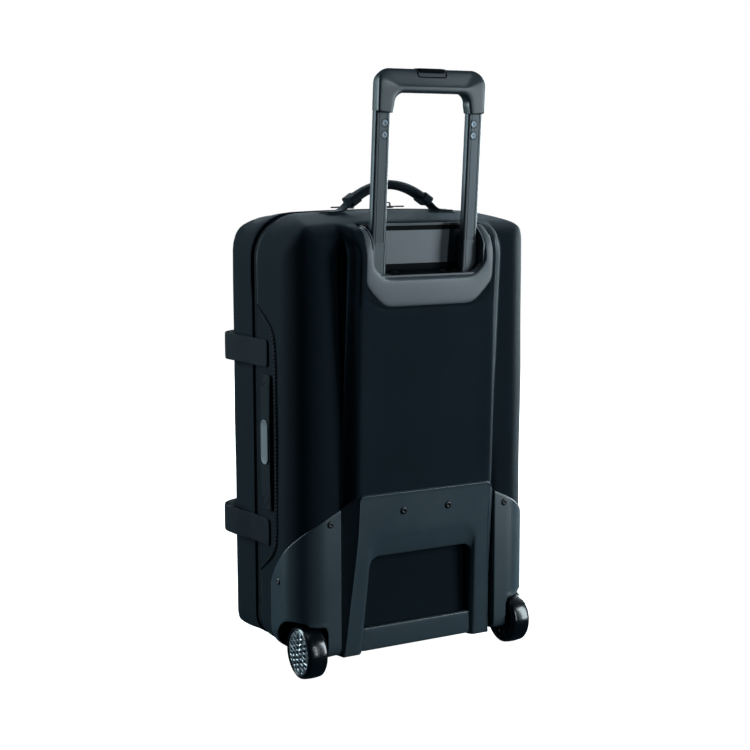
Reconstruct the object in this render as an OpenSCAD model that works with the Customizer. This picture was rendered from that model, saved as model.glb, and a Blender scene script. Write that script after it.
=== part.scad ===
// Two-wheeled upright soft-sided travel case with a laptop sleeve, a clamshell lid and a telescoping handle.
// +Z is up, the lid faces -Y, the handle and the wheels are on the +Y side.
// The origin is on the floor under the middle of the bounding box.

/* [Body] */
// Width of the soft body, side to side
body_w = 380; // [360:5:400]
// Height of the underside of the body above the floor
base_z = 34; // [32:1:38]
// Height of the crown of the body above the floor
top_z = 634; // [610:2:650]
// Depth of the front half, which opens as the lid
lid_d = 102; // [85:1:115]
// Depth of the rear half
tub_d = 123; // [115:1:130]
// Thickness of the padded fabric wall
wall = 4; // [3:0.5:5]

/* [Spine] */
// Lean of the handle tubes and of the back panel
lean = 4.2; // [3:0.1:5]
// Half width of the raised back panel
panel_hw = 105; // [100:1:110]
// Height of the floor of the handle recess along the spine
tray_floor = 553; // [545:1:560]

/* [Telescoping handle] */
// Distance of each tube from the middle
tube_x = 71.9; // [68:0.1:74]
// Width of the inner tube
tube_w = 22; // [20:0.5:22]
// Depth of the inner tube
tube_d = 12; // [10:0.5:12]
// Running gap between one tube and the next
tube_gap = 0.3; // [0.3:0.05:0.4]
// Height of the top of the grip along the spine
grip_top = 824; // [810:1:840]
// Half width of the grip
grip_hw = 83; // [81:0.5:84]

/* [Wheels] */
// Wheel radius
wheel_r = 37; // [34:0.5:38]
// Wheel width
wheel_w = 30; // [26:1:30]
// Distance of the outer face of each wheel from the middle
wheel_out = 181; // [178:1:184]

/* [Straps] */
// Width of the closure webbing
web_w = 38; // [30:1:40]
// Height of the middle of the upper closure strap
strap_high = 443; // [430:1:455]
// Height of the middle of the lower closure strap
strap_low = 194; // [180:1:205]

/* [Hidden] */
$fn = 48;

big = 1000;             // larger than the whole case
arc_steps = 8;          // segments in a quarter of an outline's corner

// body outlines
half_w = body_w / 2;
strap_out = 8;          // how far a closure strap stands off the front corners
strap_t = 2.5;          // thickness of the webbing
corner_front = 35;      // plan radius of the front corners
corner_back = 45;       // plan radius of the rear columns
top_r = 55;             // front-view radius of the upper corners
bottom_r = 32;          // front-view radius of the lower corners
edge_low = 20;          // side-view radius along the bottom
edge_front = 30;        // side-view radius along the top of the lid
edge_back = 24;         // side-view radius along the top of the rear
back_top = 618;         // height of the rear edge of the crown
grip_d = 21;            // front-to-back size of the grip
half_depth = (lid_d + tub_d + strap_out + 38) / 2;
front_y = strap_out - half_depth;
zip_y = front_y + lid_d;
back_y = zip_y + tub_d;
crown_y = 0;            // where the crown starts to fall towards the rear

// spine frame: X is shared, V points out of the back, W runs up the leaning tubes
// V = 0 is the back face of the tubes
spine_y = back_y - 29;
board_v = -23;          // front face of the frame board
board_t = 3;
skin_v = 7;             // outer face of the tub behind the back panel
channel_v = 3;          // back of the tube channel
panel_v = 18;           // outer face of the bezel and of the back panel beside it
panel_foot_v = 29;      // outer face of the back panel above the kick plate
plate_foot_v = 24;      // outer face of the kick plate at its foot
plate_head_v = 31.5;    // outer face of the kick plate at its upper edge
groove_hw = 124;        // half width of the groove beside the panel
block_hw = 118;         // half width of the raised block of the tub
channel_hw = 103;
flange_hw = channel_hw + board_t;
plate_foot = 24;
plate_top = 255;        // upper edge of the kick plate
shoulder_v = -22;       // centre of the rounded top of the spine block
shoulder_w = 572;
shoulder_rv = 40;
shoulder_rw = 44;
bezel_hw = 100;
bezel_in = 88;
bezel_low = 511;
bezel_lip = 548;
tray_v = -26;           // front wall of the handle recess
tray_t = 2.5;
tray_top = 616;

// wheels
wheel_y = back_y - 21;
wheel_z = wheel_r;
wheel_in = wheel_out - wheel_w;
arch_r = 47;            // opening in the body around the wheel
axle_r = 4;
bore_r = 4.05;
boss_r = 10;
boss_x = wheel_in - 26; // inner end of the axle boss

// telescoping tubes
tube_v = -tube_d / 2;
mid_wall = 0.9;
outer_wall = 1;
inner_wall = 1.2;
inner_low = 412;
inner_high = 788;
mid_low = 232;
mid_high = 596;
outer_low = 62;
grip_leg = 766;         // lower end of the grip's legs
grip_v1 = (half_depth - spine_y - grip_top * sin(lean)) / cos(lean);
grip_v0 = grip_v1 - grip_d;
grip_split = (grip_v0 + grip_v1) / 2;
button_hw = 20;
button_drop = 5;
bar_w0 = 803;
bar_w1 = 808;
spring_w0 = 794.5;      // seat of the button's return spring
rod_r = 2.2;

soft = [0.13, 0.14, 0.16];
webbing = [0.08, 0.08, 0.09];
moulded = [0.23, 0.25, 0.27];
satin = [0.36, 0.38, 0.4];
metal = [0.42, 0.45, 0.49];
dark = [0.06, 0.06, 0.07];
bright = [0.7, 0.71, 0.73];

// ---- outlines -------------------------------------------------------------------------------------------

function arc(cx, cy, r, a0, a1, n = arc_steps) =
    [for (i = [0:n]) [cx + r * cos(a0 + (a1 - a0) * i / n), cy + r * sin(a0 + (a1 - a0) * i / n)]];

function heading(path, i) =
    let (a = path[max(i - 1, 0)], b = path[min(i + 1, len(path) - 1)], d = b - a) d / norm(d);

// closed outline of a strip of thickness t that follows a path
function strip(path, t) = concat(
    [for (i = [0:len(path) - 1]) let (h = heading(path, i)) path[i] + t / 2 * [-h[1], h[0]]],
    [for (i = [len(path) - 1:-1:0]) let (h = heading(path, i)) path[i] - t / 2 * [-h[1], h[0]]]);

module front_outline(i) {
    hw = half_w - i;
    rt = top_r - i;
    rb = bottom_r - i;
    polygon(concat(arc(hw - rt, top_z - i - rt, rt, 0, 90), arc(rt - hw, top_z - i - rt, rt, 90, 180),
        arc(rb - hw, base_z + i + rb, rb, 180, 270), arc(hw - rb, base_z + i + rb, rb, 270, 360)));
}

module plan_outline(i) {
    hw = half_w - i;
    rf = corner_front - i;
    rb = corner_back - i;
    polygon(concat(arc(hw - rb, back_y - i - rb, rb, 0, 90), arc(rb - hw, back_y - i - rb, rb, 90, 180),
        arc(rf - hw, front_y + i + rf, rf, 180, 270), arc(hw - rf, front_y + i + rf, rf, 270, 360)));
}

module side_outline(i) {
    rl = edge_low - i;
    rf = edge_front - i;
    rb = edge_back - i;
    polygon(concat(arc(back_y - i - rb, back_top - i - rb, rb, 0, 78), [[crown_y, top_z - i]],
        arc(front_y + i + rf, top_z - i - rf, rf, 90, 180),
        arc(front_y + i + rl, base_z + i + rl, rl, 180, 270),
        arc(back_y - i - rl, base_z + i + rl, rl, 270, 360)));
}

// ---- frames and slabs -----------------------------------------------------------------------------------

module spine() {
    translate([0, spine_y, 0]) rotate([-lean, 0, 0]) children();
}

// an outline in X and Z, from y0 to y1
module slab_y(y0, y1) {
    translate([0, y1, 0]) rotate([90, 0, 0]) linear_extrude(y1 - y0) children();
}

// an outline in Y and Z, from x0 to x1
module slab_x(x0, x1) {
    translate([x0, 0, 0]) rotate([90, 0, 90]) linear_extrude(x1 - x0) children();
}

// an outline in X and Y, from z0 to z1
module slab_z(z0, z1) {
    translate([0, 0, z0]) linear_extrude(z1 - z0) children();
}

// a box given by its lowest and highest corners
module span(low, high) {
    translate(low) cube(high - low);
}

module rounded_rect(hx, hy, r) {
    polygon(concat(arc(hx - r, hy - r, r, 0, 90), arc(r - hx, hy - r, r, 90, 180),
        arc(r - hx, r - hy, r, 180, 270), arc(hx - r, r - hy, r, 270, 360)));
}

module both_sides() {
    children();
    mirror([1, 0, 0]) children();
}

// side -1 is the left, at -X, and side 1 is the right
module on_side(side) {
    mirror([side < 0 ? 1 : 0, 0, 0]) children();
}

// ---- body -----------------------------------------------------------------------------------------------

// the soft outside of the whole case, moved in by i
module body_solid(i) {
    intersection() {
        slab_y(-big, big) front_outline(i);
        slab_z(-big, big) plan_outline(i);
        slab_x(-big, big) side_outline(i);
    }
}

// everything below the rounded top of the spine block, from x0 to x1
module shoulder(x0, x1) {
    slab_x(x0, x1) polygon(concat([[-60, -100], [shoulder_v + shoulder_rv, -100]],
        [for (a = [0:10:90]) [shoulder_v + shoulder_rv * cos(a), shoulder_w + shoulder_rw * sin(a)]],
        [[-60, shoulder_w + shoulder_rw]]));
}

module wheel_well(r, x0) {
    translate([x0, wheel_y, wheel_z]) rotate([0, 90, 0]) cylinder(r = r, h = big);
    span([x0, wheel_y - r, -big], [big, wheel_y + r, wheel_z]);
}

// round boss that carries the axle, on the right side
module boss() {
    translate([boss_x, wheel_y, wheel_z]) rotate([0, 90, 0]) cylinder(r = boss_r, h = wheel_in - 6 - boss_x);
}

// way for the boss and for the axle's head through the soft wall
module boss_way() {
    translate([boss_x - 4, wheel_y, wheel_z]) rotate([0, 90, 0]) cylinder(r = boss_r + 0.2, h = wheel_w + 4);
}

module tub_cavity() {
    difference() {
        intersection() {
            body_solid(wall);
            span([-big, zip_y - 1, -big], [big, big, big]);
        }
        spine() span([-flange_hw, board_v, -100], [flange_hw, big, big]);
        spine() span([-groove_hw - wall, channel_v, -100], [groove_hw + wall, big, big]);
        spine() span([-channel_hw, tray_v - 6, tray_floor - 15], [channel_hw, big, big]);
        both_sides() wheel_well(arch_r + 3, wheel_in - 12);
    }
}

module tub_shell() {
    color(soft) difference() {
        union() {
            difference() {
                intersection() {
                    body_solid(0);
                    span([-big, zip_y, -big], [big, big, big]);
                }
                spine() span([-groove_hw, skin_v, -100], [groove_hw, big, big]);
            }
            intersection() {
                spine() intersection() {
                    shoulder(-block_hw, block_hw);
                    span([-block_hw, board_v, 0], [block_hw, skin_v, big]);
                }
                span([-big, -big, base_z], [big, big, big]);
            }
        }
        tub_cavity();
        spine() span([-flange_hw, board_v, 44], [flange_hw, channel_v, tray_floor - tray_t]);
        spine() span([-bezel_hw, tray_v - tray_t, tray_floor - tray_t], [bezel_hw, big, big]);
        both_sides() wheel_well(arch_r, wheel_in - 9);
        both_sides() boss_way();
    }
}

module back_panel() {
    color(soft) spine() difference() {
        intersection() {
            slab_x(-block_hw, block_hw) polygon([[skin_v, plate_top + 1], [panel_foot_v, plate_top + 1],
                [panel_v, bezel_low], [panel_v, 560], [skin_v, 560]]);
            slab_z(plate_top, 560) polygon([[-block_hw, skin_v], [block_hw, skin_v],
                [panel_hw, panel_foot_v], [-panel_hw, panel_foot_v]]);
        }
        slab_y(0, 60) bezel_outline();
    }
}

// hat-section board that walls the tubes off from the main compartment
module frame_board() {
    color(moulded) spine() difference() {
        span([-flange_hw, board_v, 46], [flange_hw, channel_v, tray_floor - 4]);
        span([-channel_hw, board_v + board_t, 0], [channel_hw, big, big]);
    }
}

module tube_base() {
    reach = channel_hw - 6;
    color(moulded) spine() difference() {
        span([-reach, board_v + board_t + 1, 46], [reach, channel_v, outer_low]);
        both_sides() translate([40, -8, 40]) cylinder(r = 4, h = 40);
        translate([0, -8, 40]) cylinder(r = 4, h = 40);
    }
}

module tube_slot(grow) {
    both_sides() translate([tube_x, tube_v]) rounded_rect(tube_w / 2 + grow, tube_d / 2 + grow, 2 + grow);
}

// recess that the grip drops into
module handle_tray() {
    color(satin) spine() intersection() {
        shoulder(-bezel_in, bezel_in);
        difference() {
            span([-bezel_in, tray_v - tray_t, tray_floor - tray_t], [bezel_in, panel_v - 4, tray_top]);
            span([-bezel_in + tray_t, tray_v, tray_floor], [bezel_in - tray_t, big, big]);
            slab_z(tray_floor - 10, tray_floor + 1) tube_slot(tube_gap + mid_wall + tube_gap);
        }
    }
}

module bezel_outline() {
    polygon([[-70, bezel_low], [70, bezel_low], [bezel_hw, 541], [bezel_hw, 640], [-bezel_hw, 640],
        [-bezel_hw, 541]]);
}

module bezel_opening() {
    polygon([[-70, bezel_lip], [70, bezel_lip], [bezel_in, 566], [bezel_in, 700], [-bezel_in, 700],
        [-bezel_in, 566]]);
}

// U-shaped cup around the back of the recess, with arms that sweep forward over the shoulder
module handle_bezel() {
    color(satin) spine() intersection() {
        shoulder(-bezel_hw, bezel_hw);
        union() {
            difference() {
                slab_y(skin_v, panel_v) bezel_outline();
                slab_y(0, 60) bezel_opening();
                span([-bezel_in, 0, tray_floor - tray_t], [bezel_in, panel_v - 4, 700]);
            }
            both_sides() span([bezel_in, tray_v - tray_t, tray_floor - tray_t], [bezel_hw, panel_v, 640]);
        }
    }
}

module tray_screws() {
    color(dark) spine() both_sides() translate([38, tray_v + 12, tray_floor]) cylinder(r = 4, h = 1.5);
}

module plate_window() {
    polygon(concat([[-85.6, 61], [85.6, 61], [80, 128]], arc(57, 143, 22, 10, 90), arc(-57, 143, 22, 90, 170),
        [[-80, 128]]));
}

// angle between the kick plate's face and the tubes
plate_lean = atan((plate_head_v - plate_foot_v) / (plate_top - plate_foot));

// v of the kick plate's face at a height
function plate_face(w) =
    plate_foot_v + (plate_head_v - plate_foot_v) * (w - plate_foot) / (plate_top - plate_foot);

// slab from a plane of constant v to the plate's face lowered by a depth
module plate_slab(v, depth) {
    slab_x(-big, big) polygon([[v, 0], [plate_face(0) - depth, 0],
        [plate_face(plate_top) - depth, plate_top], [v, plate_top]]);
}

// moulded plate at the foot of the spine, with two legs and a low crossbar
module kick_plate() {
    foot_hw = 121;
    color(moulded) spine() difference() {
        intersection() {
            slab_y(skin_v, 60) polygon(concat(arc(panel_hw - 6, plate_top - 6, 6, 0, 90),
                arc(6 - panel_hw, plate_top - 6, 6, 90, 180), [[-foot_hw, 90], [-foot_hw, plate_foot],
                [foot_hw, plate_foot], [foot_hw, 90]]));
            plate_slab(0, 0);
        }
        intersection() {
            slab_y(0, 60) polygon([[-97, 0], [97, 0], [84, 168], [71, 193], [-71, 193], [-84, 168]]);
            plate_slab(60, 5);
        }
        slab_y(0, 60) plate_window();
    }
}

module guard_extent() {
    slab_x(groove_hw, big) polygon([[14, 0], [17, 120], [29, 145], [62, 177], [84, 201], [97, 217], [101, 237],
        [130, 237], [130, 0]]);
}

// moulded corner that wraps the foot of a rear column and opens over the wheel
module corner_guard(side) {
    color(moulded) on_side(side) difference() {
        intersection() {
            body_solid(-2.5);
            guard_extent();
        }
        body_solid(0);
        wheel_well(arch_r - 3, wheel_in - 5);
        boss_way();
    }
}

module corner_guard_left() {
    corner_guard(-1);
}

module corner_guard_right() {
    corner_guard(1);
}

// arch liner, side plate and axle boss behind each wheel
module wheel_bracket(side) {
    color(moulded) on_side(side) intersection() {
        difference() {
            union() {
                difference() {
                    wheel_well(arch_r, wheel_in - 9);
                    wheel_well(arch_r - 3, wheel_in - 5);
                }
                boss();
            }
            translate([0, wheel_y, wheel_z]) rotate([0, 90, 0]) cylinder(r = axle_r, h = big);
        }
        union() {
            body_solid(0);
            boss();
        }
    }
}

module wheel_bracket_left() {
    wheel_bracket(-1);
}

module wheel_bracket_right() {
    wheel_bracket(1);
}

module plate_rivets() {
    color(dark) spine() both_sides() translate([34, plate_face(230), 230]) rotate([-90 - plate_lean, 0, 0])
        cylinder(r = 4.5, h = 1.2);
}

module guard_rivets() {
    color(dark) both_sides() {
        translate([144, back_y + 2.5, 216]) rotate([-90, 0, 0]) cylinder(r = 4.5, h = 1.2);
        translate([half_w + 2.5, 41, 130]) rotate([0, 90, 0]) cylinder(r = 4.5, h = 1.2);
    }
}

module outer_tube(side) {
    inside = 2 * tube_gap + mid_wall;
    color(metal) spine() on_side(side) translate([tube_x, tube_v, 0]) difference() {
        slab_z(outer_low, tray_floor - tray_t) rounded_rect(tube_w / 2 + inside + outer_wall,
            tube_d / 2 + inside + outer_wall, 4);
        slab_z(outer_low - 1, big) rounded_rect(tube_w / 2 + inside, tube_d / 2 + inside, 3);
    }
}

module outer_tube_left() {
    outer_tube(-1);
}

module outer_tube_right() {
    outer_tube(1);
}

// ---- soft handles ---------------------------------------------------------------------------------------

carry_y = back_y - 86;
carry_end = 62;         // half length of the padded part of the top handle
carry_rise = 668.3;     // height of the middle line at the centre
carry_fall = 13.3;      // drop of the middle line at the end of the pad
carry_t = 12.5;
anchor_t = 1.5;
carry_path = [for (i = [-6:6]) let (u = i / 6) [carry_end * u, carry_rise - carry_fall * u * u]];

module carry_pad() {
    color(webbing) slab_y(carry_y - 14, carry_y + 14) polygon(strip(carry_path, carry_t));
}

module carry_webbing() {
    color(webbing) slab_y(carry_y - 12.5, carry_y + 12.5) both_sides() {
        polygon(strip([[carry_end + 2.5, carry_rise - carry_fall - 1], [68, 648], [73, 642.5],
            [78, 638.5], [86, 637.2], [98, 637.2]], 3));
    }
}

module carry_anchors() {
    color(webbing) difference() {
        intersection() {
            both_sides() span([72, carry_y - 17, top_z - 20], [104, carry_y + 17, top_z + 5]);
            body_solid(-anchor_t);
        }
        body_solid(0);
    }
}

gusset_t = 1.5;

// stitched lens-shaped reinforcement behind the zip on the closing side
module side_gusset() {
    front = zip_y + 9;
    bulge = 51;
    color(soft) slab_x(half_w, half_w + gusset_t) polygon(concat([[front, 150], [front + 28, 170]],
        [for (i = [0:8]) [front + bulge + 5 * sin(180 * i / 8), 205 + 250 * i / 8]], [[front, 512]]));
}

side_handle_y = zip_y + 40;
handle_low = 225;
handle_high = 415;

module side_handle() {
    mid = (handle_low + handle_high) / 2;
    path = [for (i = [-6:6]) let (u = i / 6)
        [half_w + 5 - 1.7 * pow(u, 4), mid + (handle_high - handle_low) / 2 * u]];
    color(webbing) slab_y(side_handle_y - 14, side_handle_y + 14) polygon(strip(path, 3));
}

module side_handle_badge() {
    color(bright) translate([half_w + 6.6, side_handle_y, 321]) rotate([0, 90, 0])
        linear_extrude(1.4) rounded_rect(31, 11, 10);
}

// ---- zip ------------------------------------------------------------------------------------------------

module zip_ring(y0, y1) {
    difference() {
        intersection() {
            body_solid(-1.2);
            span([10 - half_w, y0, -big], [big, y1, big]);
        }
        body_solid(0);
    }
}

module tub_zip() {
    color(dark) zip_ring(zip_y, zip_y + 7);
}

slider_right = 44;
slider_left = -20;
slider_z = top_z + 1.8;
pull_z = 5.4;           // pivot of a pull above the foot of its slider

module zip_sliders() {
    color(dark) for (x = [slider_left, slider_right])
        translate([x, zip_y, slider_z]) {
            span([-8, -5, 0], [8, 5, 3.4]);
            span([-5, -2, 3.4], [-3, 2, 7.4]);
            span([3, -2, 3.4], [5, 2, 7.4]);
            span([-5, -2, 7.4], [5, 2, 8.6]);
        }
}

// a crossbar through the slider's loop, two arms and a tab
module zip_pull(x, way) {
    color(dark) translate([x, zip_y, slider_z + pull_z]) mirror([way < 0 ? 1 : 0, 0, 0]) {
        translate([0, -4, 0]) rotate([-90, 0, 0]) cylinder(r = 1, h = 8);
        for (y = [-4.9, 3.3]) span([-1, y, -1], [12, y + 1.6, 1]);
        span([9, -4.9, -1], [32, 4.9, 1.2]);
    }
}

module zip_pull_left() {
    zip_pull(slider_left, -1);
}

module zip_pull_right() {
    zip_pull(slider_right, 1);
}

// ---- fabric hinge on the left ---------------------------------------------------------------------------

hinge_x = -half_w - 2;

module hinge_strip_tub() {
    color(soft) span([hinge_x - 1, zip_y + 6, 92], [-half_w, zip_y + 22, 576]);
}

module hinge_strip_lid() {
    color(soft) span([hinge_x - 1, zip_y - 22, 92], [-half_w, zip_y - 6, 576]);
}

// ---- inside the tub -------------------------------------------------------------------------------------

module packing_straps() {
    color(webbing) spine() both_sides() span([45, board_v - 2.4, 60], [70, board_v - 0.4, 520]);
}

module packing_buckle() {
    color(dark) spine() span([38, board_v - 8, 290], [77, board_v - 2.4, 345]);
}

// ---- wheels ---------------------------------------------------------------------------------------------

module at_wheel(side) {
    on_side(side) translate([0, wheel_y, wheel_z]) rotate([0, 90, 0]) children();
}

module axle(side) {
    color(bright) at_wheel(side) {
        translate([0, 0, boss_x]) cylinder(r = axle_r, h = wheel_out - 4 - boss_x);
        translate([0, 0, boss_x - 3]) cylinder(r = 7, h = 3);
    }
}

module axle_left() {
    axle(-1);
}

module axle_right() {
    axle(1);
}

rim_r = 30.5;
tyre_edge = 8;

// rounded tread around a flat rim seat
module tyre(side) {
    flank = wheel_r - tyre_edge;
    color(dark) at_wheel(side) translate([0, 0, wheel_in]) rotate_extrude($fn = 96)
        polygon(concat([[rim_r, 0.5], [flank, 0]], arc(flank, tyre_edge, tyre_edge, -80, 0),
            arc(flank, wheel_w - tyre_edge, tyre_edge, 0, 80), [[flank, wheel_w], [rim_r, wheel_w - 0.5]]));
}

module tyre_left() {
    tyre(-1);
}

module tyre_right() {
    tyre(1);
}

bearing_r = 11;
bearing_w = 7;

module hub(side) {
    color(moulded) at_wheel(side) translate([0, 0, wheel_in + 1]) difference() {
        cylinder(r = rim_r, h = wheel_w - 4, $fn = 96);
        translate([0, 0, -1]) cylinder(r = bearing_r, h = bearing_w + 1);
        translate([0, 0, wheel_w - 4 - bearing_w]) cylinder(r = bearing_r, h = bearing_w + 1);
        cylinder(r = 6, h = wheel_w);
        for (a = [0:60:300]) rotate(a) translate([20.5, 0, 8]) cylinder(r = 6, h = wheel_w);
    }
}

module hub_left() {
    hub(-1);
}

module hub_right() {
    hub(1);
}

cell_pitch = 8.6;

// outer disc with a field of honeycomb openings
module wheel_cap(side) {
    color(bright) at_wheel(side) translate([0, 0, wheel_out - 2.6]) difference() {
        cylinder(r = rim_r - 0.3, h = 2.2, $fn = 96);
        for (row = [-3:3], col = [-3:3]) {
            x = cell_pitch * (col + (row % 2 == 0 ? 0 : 0.5));
            y = cell_pitch * 0.866 * row;
            if (norm([x, y]) < rim_r - 5 && norm([x, y]) > 6)
                translate([x, y, -1]) rotate(30) cylinder(r = 3.7, h = 5, $fn = 6);
        }
    }
}

module wheel_cap_left() {
    wheel_cap(-1);
}

module wheel_cap_right() {
    wheel_cap(1);
}

module bearings(side) {
    color(bright) at_wheel(side) for (x = [wheel_in + 1, wheel_out - 3 - bearing_w])
        translate([0, 0, x]) difference() {
            cylinder(r = bearing_r, h = bearing_w);
            translate([0, 0, -1]) cylinder(r = bore_r, h = bearing_w + 2);
        }
}

module bearings_left() {
    bearings(-1);
}

module bearings_right() {
    bearings(1);
}

// ---- telescoping handle ---------------------------------------------------------------------------------

module mid_tube(side) {
    hx = tube_w / 2 + tube_gap;
    hy = tube_d / 2 + tube_gap;
    color(metal) spine() on_side(side) translate([tube_x, tube_v, 0]) difference() {
        slab_z(mid_low, mid_high) rounded_rect(hx + mid_wall, hy + mid_wall, 3);
        slab_z(mid_low - 1, big) rounded_rect(hx, hy, 2.2);
    }
}

module mid_tube_left() {
    mid_tube(-1);
}

module mid_tube_right() {
    mid_tube(1);
}

screw_w = [737.5, 753];
screw_x = tube_x - 2.5;
screw_r = 4.4;

module inner_tube(side) {
    color(metal) spine() on_side(side) difference() {
        translate([tube_x, tube_v, 0]) difference() {
            slab_z(inner_low, inner_high) rounded_rect(tube_w / 2, tube_d / 2, 2);
            slab_z(inner_low - 1, big) rounded_rect(tube_w / 2 - inner_wall, tube_d / 2 - inner_wall, 1);
        }
        for (w = screw_w) translate([screw_x, -3, w]) rotate([-90, 0, 0]) cylinder(r = screw_r, h = 6);
    }
}

module inner_tube_left() {
    inner_tube(-1);
}

module inner_tube_right() {
    inner_tube(1);
}

module slide_plugs() {
    color(dark) spine() both_sides() translate([tube_x, tube_v, 0]) {
        slab_z(inner_low - 8, inner_low) rounded_rect(tube_w / 2, tube_d / 2, 2);
        slab_z(inner_low, inner_low + 12) rounded_rect(tube_w / 2 - inner_wall, tube_d / 2 - inner_wall, 1);
    }
}

module grip_screws() {
    color(dark) spine() both_sides() for (w = screw_w) translate([screw_x, -inner_wall, w]) rotate([-90, 0, 0])
        cylinder(r = screw_r, h = inner_wall);
}

leg_in = 56;
bar_low = 792;

module grip_outline() {
    r_out = 18;
    r_in = 12;
    polygon(concat([[leg_in, grip_leg], [grip_hw - 3, grip_leg], [grip_hw, grip_leg + 6]],
        arc(grip_hw - r_out, grip_top - r_out, r_out, 0, 90),
        arc(r_out - grip_hw, grip_top - r_out, r_out, 90, 180),
        [[-grip_hw, grip_leg + 6], [3 - grip_hw, grip_leg], [-leg_in, grip_leg]],
        arc(r_in - leg_in, bar_low - r_in, r_in, 180, 90), arc(leg_in - r_in, bar_low - r_in, r_in, 90, 0)));
}

// space inside the grip for the tubes, the release bar and the button
module grip_hollow() {
    both_sides() translate([tube_x, tube_v, 0])
        slab_z(grip_leg - 1, inner_high) rounded_rect(tube_w / 2, tube_d / 2, 2);
    span([-79, -10, bar_w0 - button_drop - 0.5], [79, -2, bar_w1 + 1]);
    both_sides() span([tube_x - 6, -10, inner_high], [tube_x + 6, -2, bar_w0]);
    span([-button_hw - 0.4, -10.4, bar_w1 - 1], [button_hw + 0.4, -1.6, 900]);
    translate([0, tube_v, spring_w0]) cylinder(r = 4.6, h = 10);
}

module grip_half(v0, v1) {
    color(moulded) spine() difference() {
        slab_y(v0, v1) grip_outline();
        grip_hollow();
    }
}

module grip_back() {
    grip_half(grip_split, grip_v1);
}

module grip_front() {
    grip_half(grip_v0, grip_split);
}

module release_button() {
    color(dark) spine() span([-button_hw, -10, bar_w1], [button_hw, -2, grip_top - 1.5]);
}

module release_bar() {
    color(dark) spine() span([-78, -9.6, bar_w0], [78, -2.4, bar_w1]);
}

module push_rods() {
    color(bright) spine() both_sides() translate([tube_x, tube_v, inner_low + 20])
        cylinder(r = rod_r, h = bar_w0 - inner_low - 20);
}

module button_spring() {
    color(bright) spine() translate([0, tube_v, spring_w0]) difference() {
        cylinder(r = 4, h = bar_w0 - spring_w0);
        translate([0, 0, -1]) cylinder(r = 3, h = 40);
    }
}

// ---- lid ------------------------------------------------------------------------------------------------

lid_gap = 0.5;

module lid_shell() {
    color(soft) difference() {
        intersection() {
            body_solid(0);
            span([-big, -big, -big], [big, zip_y - lid_gap, big]);
        }
        body_solid(wall);
    }
}

module lid_zip() {
    color(dark) zip_ring(zip_y - lid_gap - 7, zip_y - lid_gap);
}

pocket_t = 1.5;

module front_pocket() {
    color(soft) slab_y(front_y - pocket_t, front_y) translate([0, 325]) rounded_rect(148, 262, 30);
}

// middle line of a closure strap in plan: hook end, right side, right loop, front, left loop, left side
function strap_path() =
    let (x = half_w + gusset_t + 0.6 + strap_t / 2, y = front_y - pocket_t - strap_t / 2,
        cx = half_w - corner_front, cy = front_y + corner_front, r = corner_front + strap_out - strap_t / 2)
    concat([[x, 18.5], [x, zip_y - 10], [x, cy + 48]], arc(cx, cy, r, 14, -104),
        [[cx - 48, y], [0, y], [48 - cx, y]], arc(-cx, cy, r, 284, 166), [[-x, cy + 30], [-x, zip_y - 25]]);

module closure_strap(z) {
    color(webbing) slab_z(z - web_w / 2, z + web_w / 2) polygon(strip(strap_path(), strap_t));
}

module closure_strap_high() {
    closure_strap(strap_high);
}

module closure_strap_low() {
    closure_strap(strap_low);
}

sleeve_hw = 172;
sleeve_gap = 26;
sleeve_low = 86;
sleeve_high = 350;

// padded pocket for the laptop on the inside of the lid
module laptop_sleeve() {
    back = front_y + wall;
    color(webbing) intersection() {
        body_solid(wall);
        difference() {
            span([-sleeve_hw, back, sleeve_low], [sleeve_hw, back + sleeve_gap + 4, sleeve_high]);
            span([4 - sleeve_hw, back - 1, sleeve_low + 4], [sleeve_hw - 4, back + sleeve_gap, big]);
        }
    }
}

foot_x = 66;
foot_y = front_y + 26;

module foot(side) {
    color(moulded) on_side(side) translate([foot_x, foot_y, 0]) {
        slab_z(0, base_z - 4) rounded_rect(24, 15, 8);
        slab_z(base_z - 4, base_z) rounded_rect(29, 19, 8);
    }
}

module foot_left() {
    foot(-1);
}

module foot_right() {
    foot(1);
}

// ---- one node, or the whole case ------------------------------------------------------------------------

tub_shell();
back_panel();
frame_board();
tube_base();
handle_tray();
handle_bezel();
kick_plate();
corner_guard_left();
corner_guard_right();
wheel_bracket_left();
wheel_bracket_right();
plate_rivets();
guard_rivets();
outer_tube_left();
outer_tube_right();
carry_pad();
carry_webbing();
carry_anchors();
side_gusset();
side_handle();
side_handle_badge();
tub_zip();
zip_sliders();
zip_pull_left();
zip_pull_right();
hinge_strip_tub();
packing_straps();
packing_buckle();
axle_left();
axle_right();
tyre_left();
tyre_right();
hub_left();
hub_right();
wheel_cap_left();
wheel_cap_right();
bearings_left();
bearings_right();
mid_tube_left();
mid_tube_right();
inner_tube_left();
inner_tube_right();
slide_plugs();
grip_screws();
grip_back();
grip_front();
release_button();
release_bar();
push_rods();
button_spring();
lid_shell();
lid_zip();
hinge_strip_lid();
front_pocket();
closure_strap_high();
closure_strap_low();
laptop_sleeve();
foot_left();
foot_right();
tray_screws();
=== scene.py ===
"""Looks of the rolling laptop case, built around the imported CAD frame.

Lengths are in millimetres up to make(), which turns them into metres.
The frame has X across the case, +Y towards the telescoping handle and +Z up.
A spine point is (x, v, w): v points out of the back and w runs up the leaning handle tubes.
"""

import math

import bmesh
import bpy
import numpy as np
from mathutils import Matrix, Vector


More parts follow.
